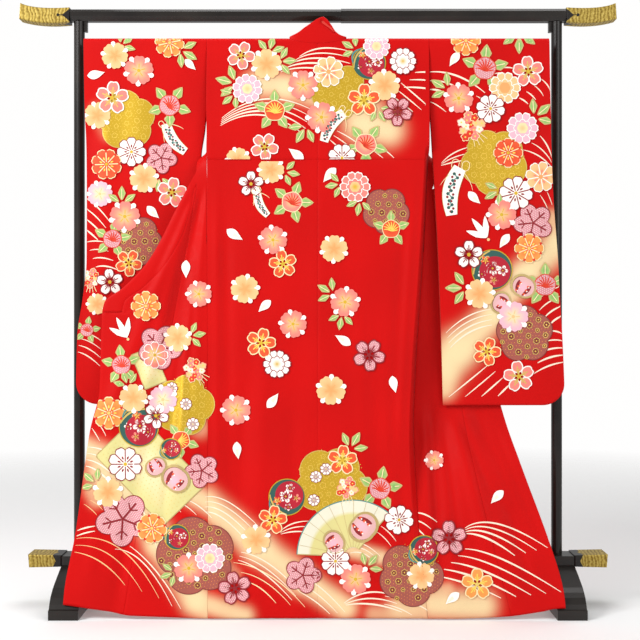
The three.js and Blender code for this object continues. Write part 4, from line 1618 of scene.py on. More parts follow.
BACK_STREAMS = table(
    Stream,
    ((299.6, 56.6, 318, 43, 348, 51), (281, 72, 305, 62, 352, 76), 5, 1.3),
    ((222, 118, 262, 85, 310, 109), (220.6, 125.6, 262, 100, 304, 135), 5, 1.3),
    ((415, 72.6, 425, 71.5, 436, 73), (404, 87.3, 420, 87, 436, 90), 3, 1.4),
    ((401, 83, 414, 94, 430, 108), (394, 97.3, 403, 104, 413, 112), 3, 1.2),
    ((337, 131, 348, 136, 360, 145), (330, 140, 336, 145, 344, 152), 3, 1.0),
    ((379, 146, 387, 151, 394, 158), (374, 151, 378, 154, 383, 158), 2, 1.0),
)
BODY_MOTIFS = table(
    Motif,
    (K.PUFF, L.PEACH, 271, 170, 14, 0), (K.STREAMER, L.CORAL, 257, 192, 26, 65),
    (K.CHERRY, L.WHITE, 251, 184, 14, -90), (K.LEAVES, L.PEACH, 284, 172, 10, 10),
    (K.PEONY, L.CORAL, 292, 202, 17, -70), (K.PETAL, L.WHITE, 329.3, 175, 9.5, -48),
    (K.CLOUD, L.CORAL, 386, 211, 24, 15), (K.FRILL, L.CORAL, 355, 187, 16, 0), (K.PEONY, L.ORANGE, 391, 229, 15, -90),
    (K.LEAVES, L.PEACH, 341, 184, 10, 170), (K.PETAL, L.WHITE, 234.6, 235, 9.5, -147),
    (K.LEAVES, L.PEACH, 360, 200, 10, 100), (K.PUFF, L.CORAL, 273, 240, 15, 10),
    (K.PUFF, L.PEACH, 334, 249, 14.5, -15), (K.CHERRY, L.ORANGE, 283, 264, 15, -100),
    (K.PUFF, L.PEACH, 245, 289, 15, 30), (K.PETAL, L.WHITE, 264.4, 306, 8.5, -43),
    (K.PUFF, L.CORAL, 293, 324, 14.5, 5), (K.PUFF, L.CORAL, 345, 302, 15.5, 25),
    (K.LEAVES, L.PEACH, 333, 294, 11, -150), (K.CHERRY, L.ORANGE, 261, 343, 16, -75),
    (K.LEAVES, L.PEACH, 342, 314, 10, 100), (K.FRILL, L.WHITE, 277, 364, 15, 0),
    (K.PETAL, L.WHITE, 343, 339.8, 9.2, 32), (K.CHERRY, L.SHIBORI, 369, 355, 17.5, -60),
    (K.PUFF, L.PEACH, 331, 390, 15.5, 20), (K.PETAL, L.WHITE, 393.6, 384.4, 8.8, -102),
    (K.PETAL, L.WHITE, 273, 400.6, 9.2, 128), (K.PUFF, L.CORAL, 236, 410, 15.5, 0),
    (K.PETAL, L.WHITE, 237.3, 450.4, 8.8, -96),
    # Lower back
    (K.CLOUD, L.AMBER, 331, 483, 37, -60), (K.CHERRY, L.ORANGE, 342.4, 460, 16, -85),
    (K.BALL, L.CORAL, 287, 497, 18.5, -40), (K.LEAVES, L.PEACH, 350, 449, 12, -60),
    (K.CHERRY, L.ORANGE, 272.8, 519.6, 15.5, -80), (K.PUFF, L.PEACH, 256, 539.5, 15, 15),
    (K.MUM, L.WHITE, 316, 476.7, 6.5, 0), (K.MUM, L.WHITE, 326, 469, 6.5, 20), (K.MUM, L.WHITE, 313.8, 500, 6.5, 10),
    (K.FLORETS, L.CORAL, 347, 488, 12, -60), (K.PEONY, L.SHIBORI, 379.8, 488.5, 18, -80),
    (K.FAN, L.AMBER, 353, 556, 56, -114), (K.SHELL, L.CORAL, 361, 525, 17, 40), (K.SHELL, L.CORAL, 332, 543, 13, -30),
    (K.MUM, L.WHITE, 335.5, 561, 15.5, 22), (K.SHIBORI, L.CORAL, 303, 575, 19, -72),
    (K.PUFF, L.CORAL, 355.5, 579, 16, -10), (K.LEAVES, L.PEACH, 366, 568, 11, -50),
    (K.CLOUD, L.CORAL, 411, 574, 33, 10), (K.MUM, L.WHITE, 399, 519.6, 15.5, 10),
    # Left wing
    (K.PETAL, L.WHITE, 185.9, 269.2, 9, -90), (K.PUFF, L.CORAL, 199, 294, 13.5, 0),
    (K.SHIBORI, L.CORAL, 160, 347, 23, 10), (K.MUM, L.AMBER, 146, 306, 15.5, 0),
    (K.CRANE, L.WHITE, 127, 337, 11.5, -118), (K.PUFF, L.PEACH, 178, 338, 14.5, 15),
    (K.LEAVES, L.PEACH, 190, 336, 10, -10), (K.MUM, L.CORAL, 155, 355, 14, 0), (K.CARD, L.AMBER, 149, 368, 19, 68),
    (K.PEONY, L.SHIBORI, 121.5, 364.8, 16, -95), (K.CLOUD, L.AMBER, 184, 405, 31, -75),
    (K.FLORETS, L.CORAL, 195, 370, 13, -100), (K.MUM, L.WHITE, 172, 388, 6.5, 0), (K.MUM, L.WHITE, 186, 404, 6.5, 15),
    (K.MUM, L.WHITE, 193, 424, 7, 0), (K.PUFF, L.PEACH, 133.6, 398, 15, -20), (K.LEAVES, L.PEACH, 128, 386, 10, -110),
    (K.PUFF, L.PINK, 163, 399.6, 15, 10), (K.CARD, L.AMBER, 151, 470, 49, 46),
    (K.CHERRY, L.WHITE, 156, 415.7, 14, -60), (K.MUM, L.AMBER, 109, 413, 17, 0), (K.BALL, L.CORAL, 139, 427, 20, 60),
    (K.PEONY, L.ORANGE, 181, 440, 15, 20), (K.BALL, L.ORANGE, 171, 449, 11, -30),
    (K.SHIBORI, L.CORAL, 202, 470.6, 18, 30), (K.MUM, L.WHITE, 125.5, 464, 18, 22),
    (K.SHELL, L.CORAL, 155, 465, 12, 60), (K.SHELL, L.CORAL, 174, 481, 16, -50), (K.PUFF, L.PEACH, 108, 492, 15.5, 20),
    (K.LEAVES, L.PEACH, 97, 484, 11, -140), (K.SHIBORI, L.CORAL, 122.9, 519, 28, -50),
    (K.MUM, L.AMBER, 152, 528, 16, 10), (K.CLOUD, L.CORAL, 196, 556, 40, -30), (K.BALL, L.AMBER, 177, 537, 13, 20),
    (K.PUFF, L.CORAL, 189, 568, 15.5, -55), (K.FRILL, L.PINK, 210, 558, 15.5, 0),
    (K.CHERRY, L.SHIBORI, 235, 588, 18, -30), (K.LEAVES, L.PEACH, 175, 572, 10, 160),
    (K.BALL, L.CORAL, 423.8, 550, 15, -30), (K.PUFF, L.PEACH, 421, 575.5, 14, 10),
)
BODY_STREAMS = table(
    Stream,
    ((77, 530.6, 86, 527, 95, 526), (76.5, 536, 86, 532, 95, 531), 2, 1.5),
    ((76.5, 538.5, 124, 530, 159, 598), (74.7, 552, 103, 556, 125, 585), 3, 1.0, Tint.PEACH),
    ((130, 546, 158, 566, 181, 609), (115, 549, 144, 549, 172, 606), 2, 1.2),
    ((88, 447, 104, 447, 126, 462), (86, 466, 100, 468, 118, 492), 4, 1.3),
    ((136, 482, 152, 500, 168, 540), (126, 486, 146, 506, 158, 552), 3, 1.1),
    ((167.5, 504, 176, 506, 181, 512), (188, 500, 200, 505, 212, 518), 3, 0.9),
    ((84, 504, 91, 508, 97, 515), (90, 500, 97, 503, 103, 510), 2, 0.8, Tint.PEACH),
    ((205, 497, 226, 492, 262, 530), (205, 512, 220, 510, 246, 540), 4, 1.0),
    ((241, 552, 268, 556, 300, 592), (238, 560, 262, 566, 292, 600), 3, 1.1),
    ((233.6, 562.5, 270, 566, 305, 607), (248, 582, 262, 586, 276, 603), 3, 1.0, Tint.CREAM),
    ((279.6, 532, 290, 521, 309, 521), (281, 534, 294, 530, 306, 532), 3, 1.1),
    ((310, 580, 326, 590, 345, 612), (300, 592, 316, 600, 330, 614), 3, 1.0),
    ((344, 603, 366, 586, 392, 595), (346, 605, 372, 600, 402, 612), 3, 1.5),
    ((347, 544, 362, 538, 380, 556), (350, 553, 362, 549, 374, 561), 3, 0.9),
    ((385, 596, 414, 600, 430, 612), (384, 604, 400, 607, 412, 615), 2, 1.2),
    ((92, 428, 96, 434, 100, 441), (99, 424, 103, 429, 106, 436), 2, 0.9),
    ((381, 526, 390, 532, 396, 541), (377, 532, 385, 537, 391, 546), 2, 0.9),
)
RIGHT_WING_MOTIFS = table(
    Motif,
    (K.CLOUD, L.CORAL, 411, 574, 33, 10), (K.BALL, L.CORAL, 423.8, 550, 15, -30),
    (K.PUFF, L.PEACH, 421, 575.5, 14, 10), (K.PUFF, L.CORAL, 434, 460, 10, 0),
    (K.PETAL, L.WHITE, 496.7, 496.7, 9, -46), (K.CHERRY, L.SHIBORI, 449, 538, 19, -20),
    (K.PETAL, L.WHITE, 452, 598, 9, -40), (K.CHERRY, L.AMBER, 477, 584, 17, -90),
)
RIGHT_WING_STREAMS = table(
    Stream,
    ((413, 513, 424, 511, 437, 522), (411, 535, 415, 537, 419, 543), 4, 1.4),
    ((465, 528, 490, 510, 547.4, 547.6), (465, 533.6, 484, 532, 514.7, 555.5), 4, 1.5),
    ((465, 548.8, 494, 549, 560.8, 591.8), (437, 576, 467, 581, 501, 598), 5, 1.6),
)
LEFT_SLEEVE_MOTIFS = table(
    Motif,
    (K.LEAVES, L.PEACH, 121, 46, 10, -40), (K.PUFF, L.PEACH, 115, 55.8, 14, 10),
    (K.PUFF, L.CORAL, 139, 70.7, 15.5, -15), (K.LEAVES, L.PEACH, 180, 50, 12, 30),
    (K.PETAL, L.WHITE, 96.3, 74.6, 9, 168), (K.MUM, L.AMBER, 169.7, 43, 15.5, 10),
    (K.CLOUD, L.AMBER, 126, 120, 30, 50), (K.PETAL, L.WHITE, 190.4, 65, 7.5, -135),
    (K.PUFF, L.PEACH, 97.5, 115.5, 14, 0), (K.CHERRY, L.CORAL, 112.5, 98, 17.5, -85),
    (K.STREAMER, L.CORAL, 166, 124, 34, 55), (K.PEONY, L.SHIBORI, 169.7, 105.5, 17.5, -55),
    (K.MUM, L.WHITE, 131.6, 152, 15.5, 0), (K.MUM, L.ORANGE, 106.7, 164.4, 16, 20),
    (K.SHIBORI, L.CORAL, 161.4, 158, 16.5, 10), (K.PUFF, L.PEACH, 144, 178.5, 15, 25),
    (K.LEAVES, L.PEACH, 160, 176, 10, 100), (K.CHERRY, L.CORAL, 172, 192.6, 16, -80),
    (K.PUFF, L.PINK, 100, 194, 13.5, 0), (K.LEAVES, L.PEACH, 122, 204, 11, -90), (K.CLOUD, L.CORAL, 138, 241, 25, 10),
    (K.PUFF, L.CORAL, 125, 216.6, 16, -15), (K.PETAL, L.WHITE, 153, 212.5, 8.5, -135),
    (K.PEONY, L.SHIBORI, 112.5, 239, 15.5, -80), (K.FLORETS, L.CORAL, 91, 279, 11, -60),
    (K.CHERRY, L.ORANGE, 129, 263, 14.5, -60), (K.CHERRY, L.WHITE, 110, 282, 14.5, -95),
    (K.PUFF, L.PEACH, 97, 304, 11, 0), (K.PEONY, L.SHIBORI, 87, 330, 11, -80), (K.PUFF, L.CORAL, 150, 330, 14, 0),
    (K.MUM, L.WHITE, 180, 362, 14, 0), (K.CHERRY, L.CORAL, 140, 384, 13, 0),
)
LEFT_SLEEVE_STREAMS = table(
    Stream,
    ((84, 197, 97, 204, 110, 222), (85, 229, 91, 233, 98, 240), 4, 1.2),
    ((87, 242, 95, 240, 104, 242), (96, 267, 105, 264, 118, 270), 4, 1.1),
    ((80, 332, 90, 332, 103, 342), (78, 352, 88, 354, 100, 366), 4, 0.9),
)
RIGHT_SLEEVE_MOTIFS = table(
    Motif,
    (K.LEAVES, L.PEACH, 519, 33, 13, 90), (K.MUM, L.AMBER, 465.7, 41, 15.5, 0),
    (K.PETAL, L.WHITE, 454, 59.4, 8.5, -55), (K.PEONY, L.SHIBORI, 484.6, 68.5, 19, -85),
    (K.FRILL, L.PEACH, 504.7, 88, 16.5, 0), (K.CHERRY, L.CORAL, 528, 71.8, 16.5, -95),
    (K.PUFF, L.CORAL, 458.6, 98.4, 15.5, 15), (K.LEAVES, L.PEACH, 448, 90, 12, -150),
    (K.FLORETS, L.CORAL, 471, 127, 16, -90), (K.MUM, L.WHITE, 490.4, 108.8, 15.5, 12),
    (K.LEAVES, L.PEACH, 534, 118, 13, -40), (K.FRILL, L.PINK, 522.3, 128.3, 16.5, 0),
    (K.CLOUD, L.AMBER, 494, 162, 34, -50), (K.MUM, L.ORANGE, 508, 153, 15.5, 0),
    (K.STREAMER, L.CORAL, 460, 168, 48, 100), (K.MUM, L.PEACH, 540.5, 177, 16, 12),
    (K.PETAL, L.WHITE, 474, 198, 8.5, -135), (K.LEAVES, L.PEACH, 500, 190, 11, 150),
    (K.MUM, L.WHITE, 515.8, 193.3, 18, 8), (K.PUFF, L.CORAL, 501.5, 214.8, 15.5, 0),
    (K.SHIBORI, L.CORAL, 533, 223, 20.5, 30), (K.CRANE, L.WHITE, 486.5, 237.5, 12.5, -128),
    (K.MUM, L.AMBER, 529, 248.4, 15.5, 0), (K.PETAL, L.WHITE, 504, 241, 8.5, -55),
    (K.BALL, L.CORAL, 492, 270, 20.5, 35), (K.CHERRY, L.WHITE, 468.7, 254.7, 15.5, -90),
    (K.LEAVES, L.PEACH, 466, 288, 13, 180), (K.PUFF, L.PEACH, 479.6, 293.7, 15.5, 30),
    (K.CLOUD, L.CORAL, 524.4, 334, 29, -20), (K.SHELL, L.CORAL, 522, 288.5, 14, -60),
    (K.SHELL, L.CORAL, 502.6, 303.4, 12, 200), (K.PEONY, L.SHIBORI, 545, 285, 18, -90),
    (K.CHERRY, L.ORANGE, 486.5, 351.6, 15.5, -70), (K.PUFF, L.PINK, 513, 316.6, 16, 0),
    (K.CHERRY, L.CORAL, 518.7, 376.3, 16.5, -100),
)
RIGHT_SLEEVE_STREAMS = table(
    Stream,
    ((430, 72, 458, 70, 485, 93), (430, 89.6, 438, 89, 446, 94), 3, 1.7),
    ((430.6, 102, 438, 105, 446, 112), (476, 96, 481, 98, 486, 103), 2, 1.0),
    ((541, 79, 548, 84, 551, 92), (519, 98, 524, 100, 528, 104), 4, 1.1),
    ((499, 69, 506, 66, 516, 69), (494, 74, 500, 72, 506, 74), 2, 1.2),
    ((441.6, 163, 452, 151, 470, 147), (441, 165.5, 453, 162, 466, 160), 3, 1.1),
    ((523, 150, 540, 153, 552, 168), (540, 136, 548, 144, 552, 158), 3, 1.2),
    ((540, 195, 545, 202, 548, 210), (547, 192, 550, 198, 552, 205), 2, 0.8),
    ((534, 303, 544, 292, 561, 286), (549.6, 325, 554, 319, 562, 316), 4, 1.4),
    ((548, 331, 556, 330, 563, 334), (534, 373.5, 548, 364, 564.6, 362), 5, 1.4),
    ((448.7, 397, 470, 380, 488, 365), (498, 396, 504, 390, 510, 384), 4, 1.3),
    ((446, 333, 466, 312, 492, 309), (450, 348, 468, 328, 492, 325), 4, 1.2),
)
CHEST_MOTIFS = {
    "left": table(
        Motif, (K.PUFF, L.CORAL, 262, 70, 13, 0), (K.CHERRY, L.ORANGE, 238, 60, 13, 20),
        (K.PUFF, L.PEACH, 236, 92, 13, 0), (K.PEONY, L.SHIBORI, 258, 94, 13, -60)),
    "right": table(
        Motif, (K.PUFF, L.PEACH, 372, 68, 13, 0), (K.CHERRY, L.CORAL, 400, 62, 13, 20),
        (K.MUM, L.WHITE, 404, 92, 13, 0), (K.PEONY, L.ORANGE, 382, 92, 13, -60)),
}


SLEEVE_PATTERN = {
    "left": (LEFT_SLEEVE_MOTIFS, LEFT_SLEEVE_STREAMS),
    "right": (RIGHT_SLEEVE_MOTIFS, RIGHT_SLEEVE_STREAMS),
}
SLEEVE_MIDDLE = {"left": 142, "right": 498}


def far_motifs(side: str) -> tuple[Motif, ...]:
    """Every second motif of a sleeve, mirrored for its far wall, which the photograph doesn't show."""
    motifs = SLEEVE_PATTERN[side][0][::2]
    return tuple(Motif(m.kind, m.look, 2 * SLEEVE_MIDDLE[side] - m.x, m.y + 4, m.r * 0.97, 180 - m.turn)
                 for m in motifs)


def behind_shoulder(x: Array, z: Array) -> Array:
    """Depth of a front where it hangs behind the shoulder."""
    return np.full(np.shape(x), BACK_FACE_Y)


def canvases() -> list[Canvas]:
    """All patterned stretches, first those that the photograph shows, then their far sides.

    Returns:
        The canvases in the order in which they are made.
    """
    top = level(ROD_Z + FOLD_RADIUS - 1.2)
    found = [
        Canvas("pattern_back", back_front_y, back_sides, level(TUCK + 1.5), neckline, BACK_MOTIFS, BACK_STREAMS),
        Canvas("pattern_body", body_depth, body_sides, hem_floor, level(TUCK - 4.5), BODY_MOTIFS, BODY_STREAMS),
        Canvas("pattern_right_wing", partial(wing_depth, "right"), right_wing_sides, hem_floor,
               level(TURN_END - 8), RIGHT_WING_MOTIFS, RIGHT_WING_STREAMS),
    ]
    for name, to_viewer in (("pattern_sleeve_{}", 1), ("pattern_sleeve_{}_far", -1)):
        for side in SIDES:
            motifs, streams = SLEEVE_PATTERN[side] if to_viewer > 0 else (far_motifs(side), ())
            found.append(Canvas(name.format(side), sleeve_depth(side, to_viewer), sleeve_sides(side),
                                sleeve_floor(side), top, motifs, streams, facing=-float(to_viewer)))
    for side in SIDES:
        found.append(Canvas("pattern_front_" + side, behind_shoulder, chest_sides(side), level(1475.0),
                            level(1640.0), CHEST_MOTIFS[side], facing=1.0))
    return found


@dataclass
class Cloth:
    """Cloth pieces of the furisode: makes each wall and hides the CAD node that it stands in for."""

    silk: bpy.types.Material

    def add(self, node: str, middle: Array, uv: Array, outer: Array, outer_row: int,
            flat: tuple[float, float], area: float) -> bpy.types.Object:
        """Make the wall that stands for a CAD node.

        Args:
            node: name of the node; the piece takes it with "_silk" added.
            middle: grid of the middle surface.
            uv: flat place of each point, in metres.
            outer: colours of the patterned face.
            outer_row: row whose patterned face looks towards the viewer.
            flat: width and length of the cut that shows, in metres; not used.
            area: its flat area in square metres; not used.

        Returns:
            The piece.
        """
        piece = shell(node + "_silk", middle, uv, outer, plain_dye(middle, Tint.LINING), outer_row)
        piece.data.materials.append(self.silk)
        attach(piece, "root")
        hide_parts(node)
        LOG.info("%s: %d faces", piece.name, len(piece.data.polygons))
        return piece


@dataclass
class Back:
    """One half of the back, from the shoulder crest to the hem."""

    side: str
    flat: tuple[float, float]
    area: float
    columns: int = 44
    crest: float = 0.86

    def build(self, cloth: Cloth) -> bpy.types.Object:
        """Hang the half: quarter circle over the rod, straight lean below, rounded under the right wing.

        Args:
            cloth: maker of the cloth pieces.

        Returns:
            The piece.
        """
        right = self.side == "right"
        share = edged(self.columns, BACK_SEAM_EDGE)
        crest = self.crest if right else 1.0
        u = np.concatenate([share * crest, crest + (1 - crest) * np.array([0.25, 0.5, 0.75, 1.0])]) if right else share
        above, under = TUCK_RUN
        down = spread((0, FOLD_RUN, 8), (FOLD_RUN, above, 46), (above, under, 9), (under, FLAT_LENGTH, 174))[:, None]
        flat = np.minimum(1, u / crest)[None, :]
        turned = np.clip((u - crest) / (1 - crest), 0, 1)[None, :] if right else 0 * flat
        edge = BACK_EDGE[self.side]
        cut = neck_cut(flat * edge(ROD_Z))
        distance = np.where(down < NECK_RUN, cut + (NECK_RUN - cut) * down / NECK_RUN, down)
        fold_y, z = over_shoulder(distance, 1)
        sign = SIDES[self.side]
        x = sign * (SEAM / 2 + flat * (edge(z) - SEAM / 2) + turned * SEAM_SETBACK(z))
        y = np.where(z > ROD_Z, fold_y, back_front_y(x, z))
        drop = ease((ARMPIT + 30 - z) / 60)
        y = mix(y, mix(y, RIGHT_FRONT_Y(z), drop), ease(turned)) if right else y
        run = down / FLAT_LENGTH
        z = z + HEM(sign * (flat * edge(0) + turned * SEAM_SETBACK(0))) * ease(run) * run
        middle = np.stack(np.broadcast_arrays(x, y, z), axis=2)
        uv = np.stack(np.broadcast_arrays(x, FLAT_LENGTH - distance), axis=2) * MM
        return cloth.add("back_" + self.side, middle, uv, dyed("back", middle), -1, self.flat, self.area)


class Strip(Enum):
    """The three lengths side by side in an opened front."""

    FRONT = "front"
    OVERLAP = "overlap"
    COLLAR = "collar"


@dataclass
class FrontStrip:
    """One length of an opened front: the front itself, its overlap panel, or the collar down its edge."""

    side: str
    strip: Strip
    flat: tuple[float, float]
    area: float
    columns: int
    bulge: float = 0.0

    def heights(self) -> Array:
        """Row heights along the cloth, from the crest or the panel's tip to the hem or the collar's end.

        Returns:
            Heights from the top down.
        """
        step = COLLAR_END + SEAM
        crest = FLAT_LENGTH - SEAM
        upper = spread((crest, ROD_Z, 8), (ROD_Z, 1400, 34), (1400, PANEL_TIP, 40), (PANEL_TIP, step, 50))
        lower = spread((step - 1, 0, 116))
        if self.strip is Strip.COLLAR:
            return upper
        whole = np.concatenate([upper, lower])
        return whole[whole <= PANEL_TIP] if self.strip is Strip.OVERLAP else whole

    def limits(self, row: FrontRow) -> tuple[Array, Array]:
        """First and last share of each row that belongs to this strip.

        Args:
            row: rows of the front.

        Returns:
            Both shares for each row.
        """
        z = row.z
        seam, collar = row.seam_share(), 1 - row.collar / row.breadth
        if self.strip is Strip.FRONT:
            return 0 * z, mix(seam, collar, ease((z - PANEL_TIP) / 12)) - SEAM / 2 / row.breadth
        if self.strip is Strip.OVERLAP:
            start = seam + SEAM / 2 / row.breadth
            end = np.where(z > COLLAR_END, collar - SEAM / row.breadth, 1.0)
            return start, np.maximum(end, start + 2 / row.breadth)
        tip = np.where(z < PANEL_TIP, seam + (2 + SEAM) / row.breadth, 0.0)
        return np.maximum(collar, tip) + SEAM / 2 / row.breadth, 1.0 + 0 * z

    def build(self, cloth: Cloth) -> bpy.types.Object:
        """Hang the strip: behind the back at the shoulder, half a turn at the armpit, then out to its edge.

        Args:
            cloth: maker of the cloth pieces.

        Returns:
            The piece.
        """
        height = self.heights()[:, None]
        fold_y, fold_z = over_shoulder(FLAT_LENGTH - height, -1)
        z = np.minimum(height, fold_z)
        row = FrontRow(self.side, z)
        low, high = self.limits(row)
        share = mix(low, high, edged(self.columns, FRONT_SEAM_EDGE)[None, :])
        x, y = row.point(share)
        from_edge = np.minimum(share - low, high - share) * row.breadth
        faces_viewer = ease((TURN_END - z) / 30)
        across = (share - low) / np.maximum(high - low, 1e-6)
        y = y + faces_viewer * (SEAM_DIP * np.exp(-(from_edge / SEAM_REACH) ** 2)
                                - self.bulge * np.sqrt(np.clip(np.sin(math.pi * across), 0, 1)))
        y = np.where(z > ROD_Z, fold_y, y)
        lift = 0 if self.strip is Strip.COLLAR else HEM(x) * (1 - ease(z / 500))
        middle = np.stack(np.broadcast_arrays(x, y, z + lift), axis=2)
        uv = np.stack(np.broadcast_arrays(share * row.breadth + 400, height), axis=2) * MM
        name = self.strip.value + "_" + self.side
        return cloth.add(name, middle, uv, dyed(self.side + "_wing", middle), -1, self.flat, self.area)


@dataclass
class NeckCollar:
    """The collar's neck stretch: stands up from the neckline to its peak, folds over and hangs inside."""

    flat: tuple[float, float]
    area: float
    rise: float = 0.46
    fall: float = 0.54
    bend: float = 2.5
    crease_x: float = 5
    crease_z: float = 1722
    crease_run: float = 47
    crease_fall: float = 38
    crease_length: float = 60.4

    def build(self, cloth: Cloth) -> bpy.types.Object:
        """Stand the band on the neckline, with the dark crease right of its peak.

        Args:
            cloth: maker of the cloth pieces.

        Returns:
            The piece.
        """
        x = np.linspace(-NECK_END, NECK_END, 80)[None, :]
        v = spread((0, self.rise, 22), (self.rise, self.fall, 10), (self.fall, 1, 16))[:, None]
        cut = neck_cut(x)
        foot_y, foot_z = over_shoulder(cut, 1)
        facing = np.clip(np.cos(np.minimum(cut / FOLD_RADIUS, math.pi / 2)), 0, None)
        base = foot_z + 2.5 * SEAM + 0.5 * WALL * facing
        top = np.maximum(base + 3.2, COLLAR_TOP(x)) - self.bend

        def near(z: Array) -> Array:
            """Depth of the near wall at a height."""
            return foot_y + 9 * ease((z - base) / 70)

        up = mix(base, top, v / self.rise)
        right, above = x - self.crease_x, up - self.crease_z
        aside = (self.crease_fall * right + self.crease_run * above) / self.crease_length
        along = (self.crease_run * right - self.crease_fall * above) / self.crease_length ** 2
        crease = 8 * np.exp(-(aside / 6) ** 2) * ease(along * 5) * ease((1.15 - along) * 4)
        half_turn = (v - self.rise) / (self.fall - self.rise) * math.pi
        inside = mix(top, mix(top, base, 0.62), (v - self.fall) / (1 - self.fall))
        rising, bending = v < self.rise, v <= self.fall
        z = np.where(rising, up, np.where(bending, top + self.bend * np.sin(half_turn), inside))
        bend_y = near(top) + self.bend * (1 - np.cos(half_turn))
        y = np.where(rising, near(up) + crease, np.where(bending, bend_y, near(top) + 2 * self.bend))
        middle = np.stack(np.broadcast_arrays(x, y, z), axis=2)
        uv = np.stack(np.broadcast_arrays(x, v * 110), axis=2) * MM
        return cloth.add("collar_neck", middle, uv, dyed("back", middle), 4, self.flat, self.area)


@dataclass
class Sleeve:
    """A long sleeve: one length folded over the rod, with a rounded outer bottom corner."""

    side: str
    flat: tuple[float, float]
    area: float
    columns: int = 42
    corner_columns: int = 12

    def build(self, cloth: Cloth) -> bpy.types.Object:
        """Hang the sleeve: far wall up to the crest, over it, and the near wall down to the bottom.

        Args:
            cloth: maker of the cloth pieces.

        Returns:
            The piece.
        """
        inner, outer = SLEEVE_INNER[self.side], SLEEVE_OUTER[self.side]
        square = 1 - SLEEVE_CORNER / (outer(SLEEVE_BOTTOM) - inner(SLEEVE_BOTTOM))
        into = np.sin(np.linspace(0, math.pi / 2, self.corner_columns + 1))[1:]
        body = np.linspace(0, square, self.columns + 1)
        u = np.unique(np.concatenate([body, [0.004, 0.01], square + (1 - square) * into]))[None, :]
        rise = SLEEVE_CORNER * (1 - np.sqrt(np.clip(1 - np.clip((u - square) / (1 - square), 0, 1) ** 2, 0, 1)))
        whole = FOLD_LENGTH + ROD_Z - SLEEVE_BOTTOM
        down = spread((0, FOLD_RUN, 8), (FOLD_RUN, whole, 142))
        distance = np.concatenate([-down[::-1], down[1:]])[:, None]
        to_viewer = np.where(distance < 0, -1.0, 1.0)
        along = np.abs(distance) * (whole - rise) / whole
        fold_y, z = over_shoulder(along, 1)
        x = SIDES[self.side] * mix(inner(z) + SEAM, outer(z), u)
        hung = sleeve_y(self.side, u, z, to_viewer)
        groove = SEAM_DIP * np.exp(-((u * 350) / SEAM_REACH) ** 2) * to_viewer
        y = np.where(z > ROD_Z, ROD_Y + to_viewer * (fold_y - ROD_Y), hung + groove)
        middle = np.stack(np.broadcast_arrays(x, y, z), axis=2)
        uv = np.stack(np.broadcast_arrays(np.abs(x) + 800, distance), axis=2) * MM
        region = "sleeve_" + self.side
        return cloth.add(region, middle, uv, dyed(region, middle), -1, self.flat, self.area)


class Graph:
    """Short hand for a material's node graph."""

    def __init__(self, name: str) -> None:
        """Start an empty graph with a shader and an output.

        Args:
            name: name of the material.
        """
        self.material = bpy.data.materials.new(name)
        self.material.use_nodes = True
        self.tree = self.material.node_tree
        self.shader = next(n for n in self.tree.nodes if n.type == "BSDF_PRINCIPLED")

    def add(self, kind: str, inputs: dict | None = None, **settings: object) -> bpy.types.Node:
        """Add a node: inputs by name or number take a value or another node's output.

        Args:
            kind: node type without ShaderNode.
            inputs: values or outputs by input.
            settings: the node's own settings.

        Returns:
            The node.
        """
        node = self.tree.nodes.new("ShaderNode" + kind)
        for key, value in settings.items():
            setattr(node, key, value)
        for key, value in (inputs or {}).items():
            self.put(node.inputs[key], value)
        return node

    def put(self, socket: bpy.types.NodeSocket, value: object) -> None:
        """Set a socket to a value, or link it to an output.

        Args:
            socket: input to set.
            value: value or output.
        """
        if isinstance(value, bpy.types.NodeSocket):
            self.tree.links.new(value, socket)
        else:
            socket.default_value = value

    def math(self, operation: str, *values: object) -> bpy.types.NodeSocket:
        """Output of a math node on values or sockets."""
        return self.add("Math", dict(enumerate(values)), operation=operation).outputs[0]

    def ramp(self, factor: object, *stops: tuple[float, object]) -> bpy.types.NodeSocket:
        """Colour output of a ramp with (place, colour or grey) stops.

        Args:
            factor: place on the ramp.
            stops: places and their colours or greys.

        Returns:
            Its colour output.
        """
        node = self.add("ValToRGB", {"Fac": factor})
        marks = node.color_ramp.elements
        while len(marks) < len(stops):
            marks.new(0.5)
        for mark, (place, colour) in zip(marks, stops):
            mark.position = place
            rgb = (colour,) * 3 if isinstance(colour, (int, float)) else tuple(colour)
            mark.color = (*rgb, 1.0)
        return node.outputs["Color"]

    def blend(self, factor: object, a: object, b: object) -> bpy.types.NodeSocket:
        """Colour output of a mix of a and b.

        Args:
            factor: share of b.
            a: first colour.
            b: second colour.

        Returns:
            Its colour output.
        """
        node = self.add("Mix", data_type="RGBA")
        self.put(node.inputs[0], factor)
        for socket, value in ((node.inputs[6], a), (node.inputs[7], b)):
            self.put(socket, value if isinstance(value, bpy.types.NodeSocket) else (*value, 1.0))
        return node.outputs[2]

    def bump(self, height: object, strength: float, distance: float) -> None:
        """Bump the shader's normal by a height in metres."""
        inputs = {"Strength": strength, "Distance": distance, "Height": height}
        self.put(self.shader.inputs["Normal"], self.add("Bump", inputs).outputs[0])

    def set(self, **values: object) -> bpy.types.Material:
        """Set the shader's inputs, with underscores for spaces, and give the material.

        Args:
            values: values or outputs by input.

        Returns:
            The material.
        """
        for key, value in values.items():
            self.put(self.shader.inputs[key.replace("_", " ")], value)
        return self.material


